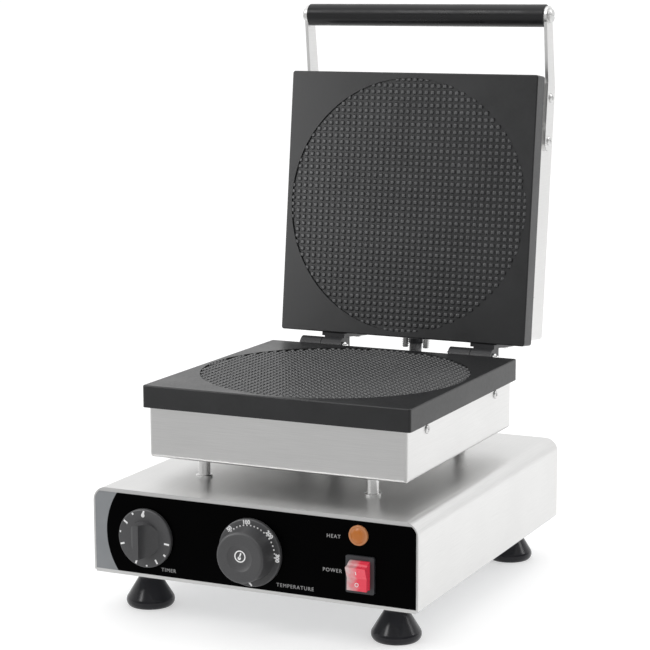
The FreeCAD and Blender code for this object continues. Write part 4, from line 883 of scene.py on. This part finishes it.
def grey_card():
    """A dim card on the floor before the object, which only reflections see."""
    corners = [(x, y, CARD_HEIGHT) for x, y in ((CARD_LEFT, CARD_FRONT), (CARD_RIGHT, CARD_FRONT),
                                                (CARD_RIGHT, CARD_REAR), (CARD_LEFT, CARD_REAR))]
    card = in_scene("grey_card", mesh_of(corners, [(0, 1, 2, 3)]))
    grey = Surface("card_grey", (0, 0, 0), 1.0, Specular_IOR_Level=0.0,
                   Emission_Color=(1.0, 1.0, 1.0, 1.0), Emission_Strength=0.62)
    card.data.materials.append(grey.material)
    card.visible_camera = card.visible_diffuse = card.visible_shadow = False


def surround():
    """A bright world whose brightness is the product of a ramp along each axis."""
    world = bpy.data.worlds.new("surround")
    world.use_nodes = True
    bpy.context.scene.world = world
    tree = world.node_tree
    ground = tree.nodes["Background"]
    ground.inputs["Color"].default_value = (1, 1, 1, 1)
    coords = tree.nodes.new("ShaderNodeTexCoord")
    split = tree.nodes.new("ShaderNodeSeparateXYZ")
    tree.links.new(coords.outputs["Generated"], split.inputs[0])
    strength = None
    for axis, (low, high), (dim, bright) in SURROUND:
        ramp = tree.nodes.new("ShaderNodeMapRange")
        ramp.interpolation_type = "SMOOTHSTEP"
        tree.links.new(split.outputs[axis], ramp.inputs["Value"])
        for socket, value in (("From Min", low), ("From Max", high), ("To Min", dim),
                              ("To Max", bright)):
            ramp.inputs[socket].default_value = value
        if strength is None:
            strength = ramp.outputs["Result"]
        else:
            product = tree.nodes.new("ShaderNodeMath")
            product.operation = "MULTIPLY"
            tree.links.new(strength, product.inputs[0])
            tree.links.new(ramp.outputs["Result"], product.inputs[1])
            strength = product.outputs[0]
    tree.links.new(strength, ground.inputs["Strength"])


def lamps():
    """Soft rectangular lamps; the near one lights the dark surfaces alone."""
    dark = bpy.data.collections.new("dark_surfaces")
    for lit in NEAR_LIGHTS:
        dark.objects.link(bpy.data.objects[lit])
    for name, at, aim, size, power in LAMPS:
        lamp = bpy.data.lights.new(name, "AREA")
        lamp.shape = "RECTANGLE"
        lamp.size, lamp.size_y = size
        lamp.energy = power
        hung = in_scene(name, lamp)
        hung.location = at
        ahead = Vector(aim) - Vector(at)
        hung.rotation_euler = ahead.to_track_quat("-Z", "Y").to_euler()
        hung.visible_camera = False
        if name == "near":
            hung.light_linking.receiver_collection = dark


def camera():
    data = bpy.data.cameras.new("camera")
    data.lens = CAMERA_LENS
    data.sensor_width = SENSOR
    data.clip_end = CAMERA_FAR
    ahead = Vector((-math.sin(CAMERA_YAW) * math.cos(CAMERA_PITCH),
                    math.cos(CAMERA_YAW) * math.cos(CAMERA_PITCH), math.sin(CAMERA_PITCH)))
    right = Vector((math.cos(CAMERA_YAW), math.sin(CAMERA_YAW), 0))
    up = right.cross(ahead)
    across = right * math.cos(CAMERA_ROLL) + up * math.sin(CAMERA_ROLL)
    upward = up * math.cos(CAMERA_ROLL) - right * math.sin(CAMERA_ROLL)
    made = in_scene("camera", data)
    made.matrix_world = (Matrix.Translation(CAMERA_AT)
                         @ Matrix((across, upward, -ahead)).transposed().to_4x4())
    bpy.context.scene.camera = made
    bpy.context.scene.view_settings.view_transform = "Standard"


camera()
dress_slots()
baking_grids()
print_white = paint("white_print", (0.86, 0.86, 0.86))
timer_marks(print_white)
thermostat_marks(print_white)
panel_words(paint("grey_print", (0.36, 0.36, 0.36)))
rocker_signs(print_white)
screw_heads()
lid_lead(NODES["lid_lead"].data.materials[0])
pale_floor()
grey_card()
surround()
lamps()
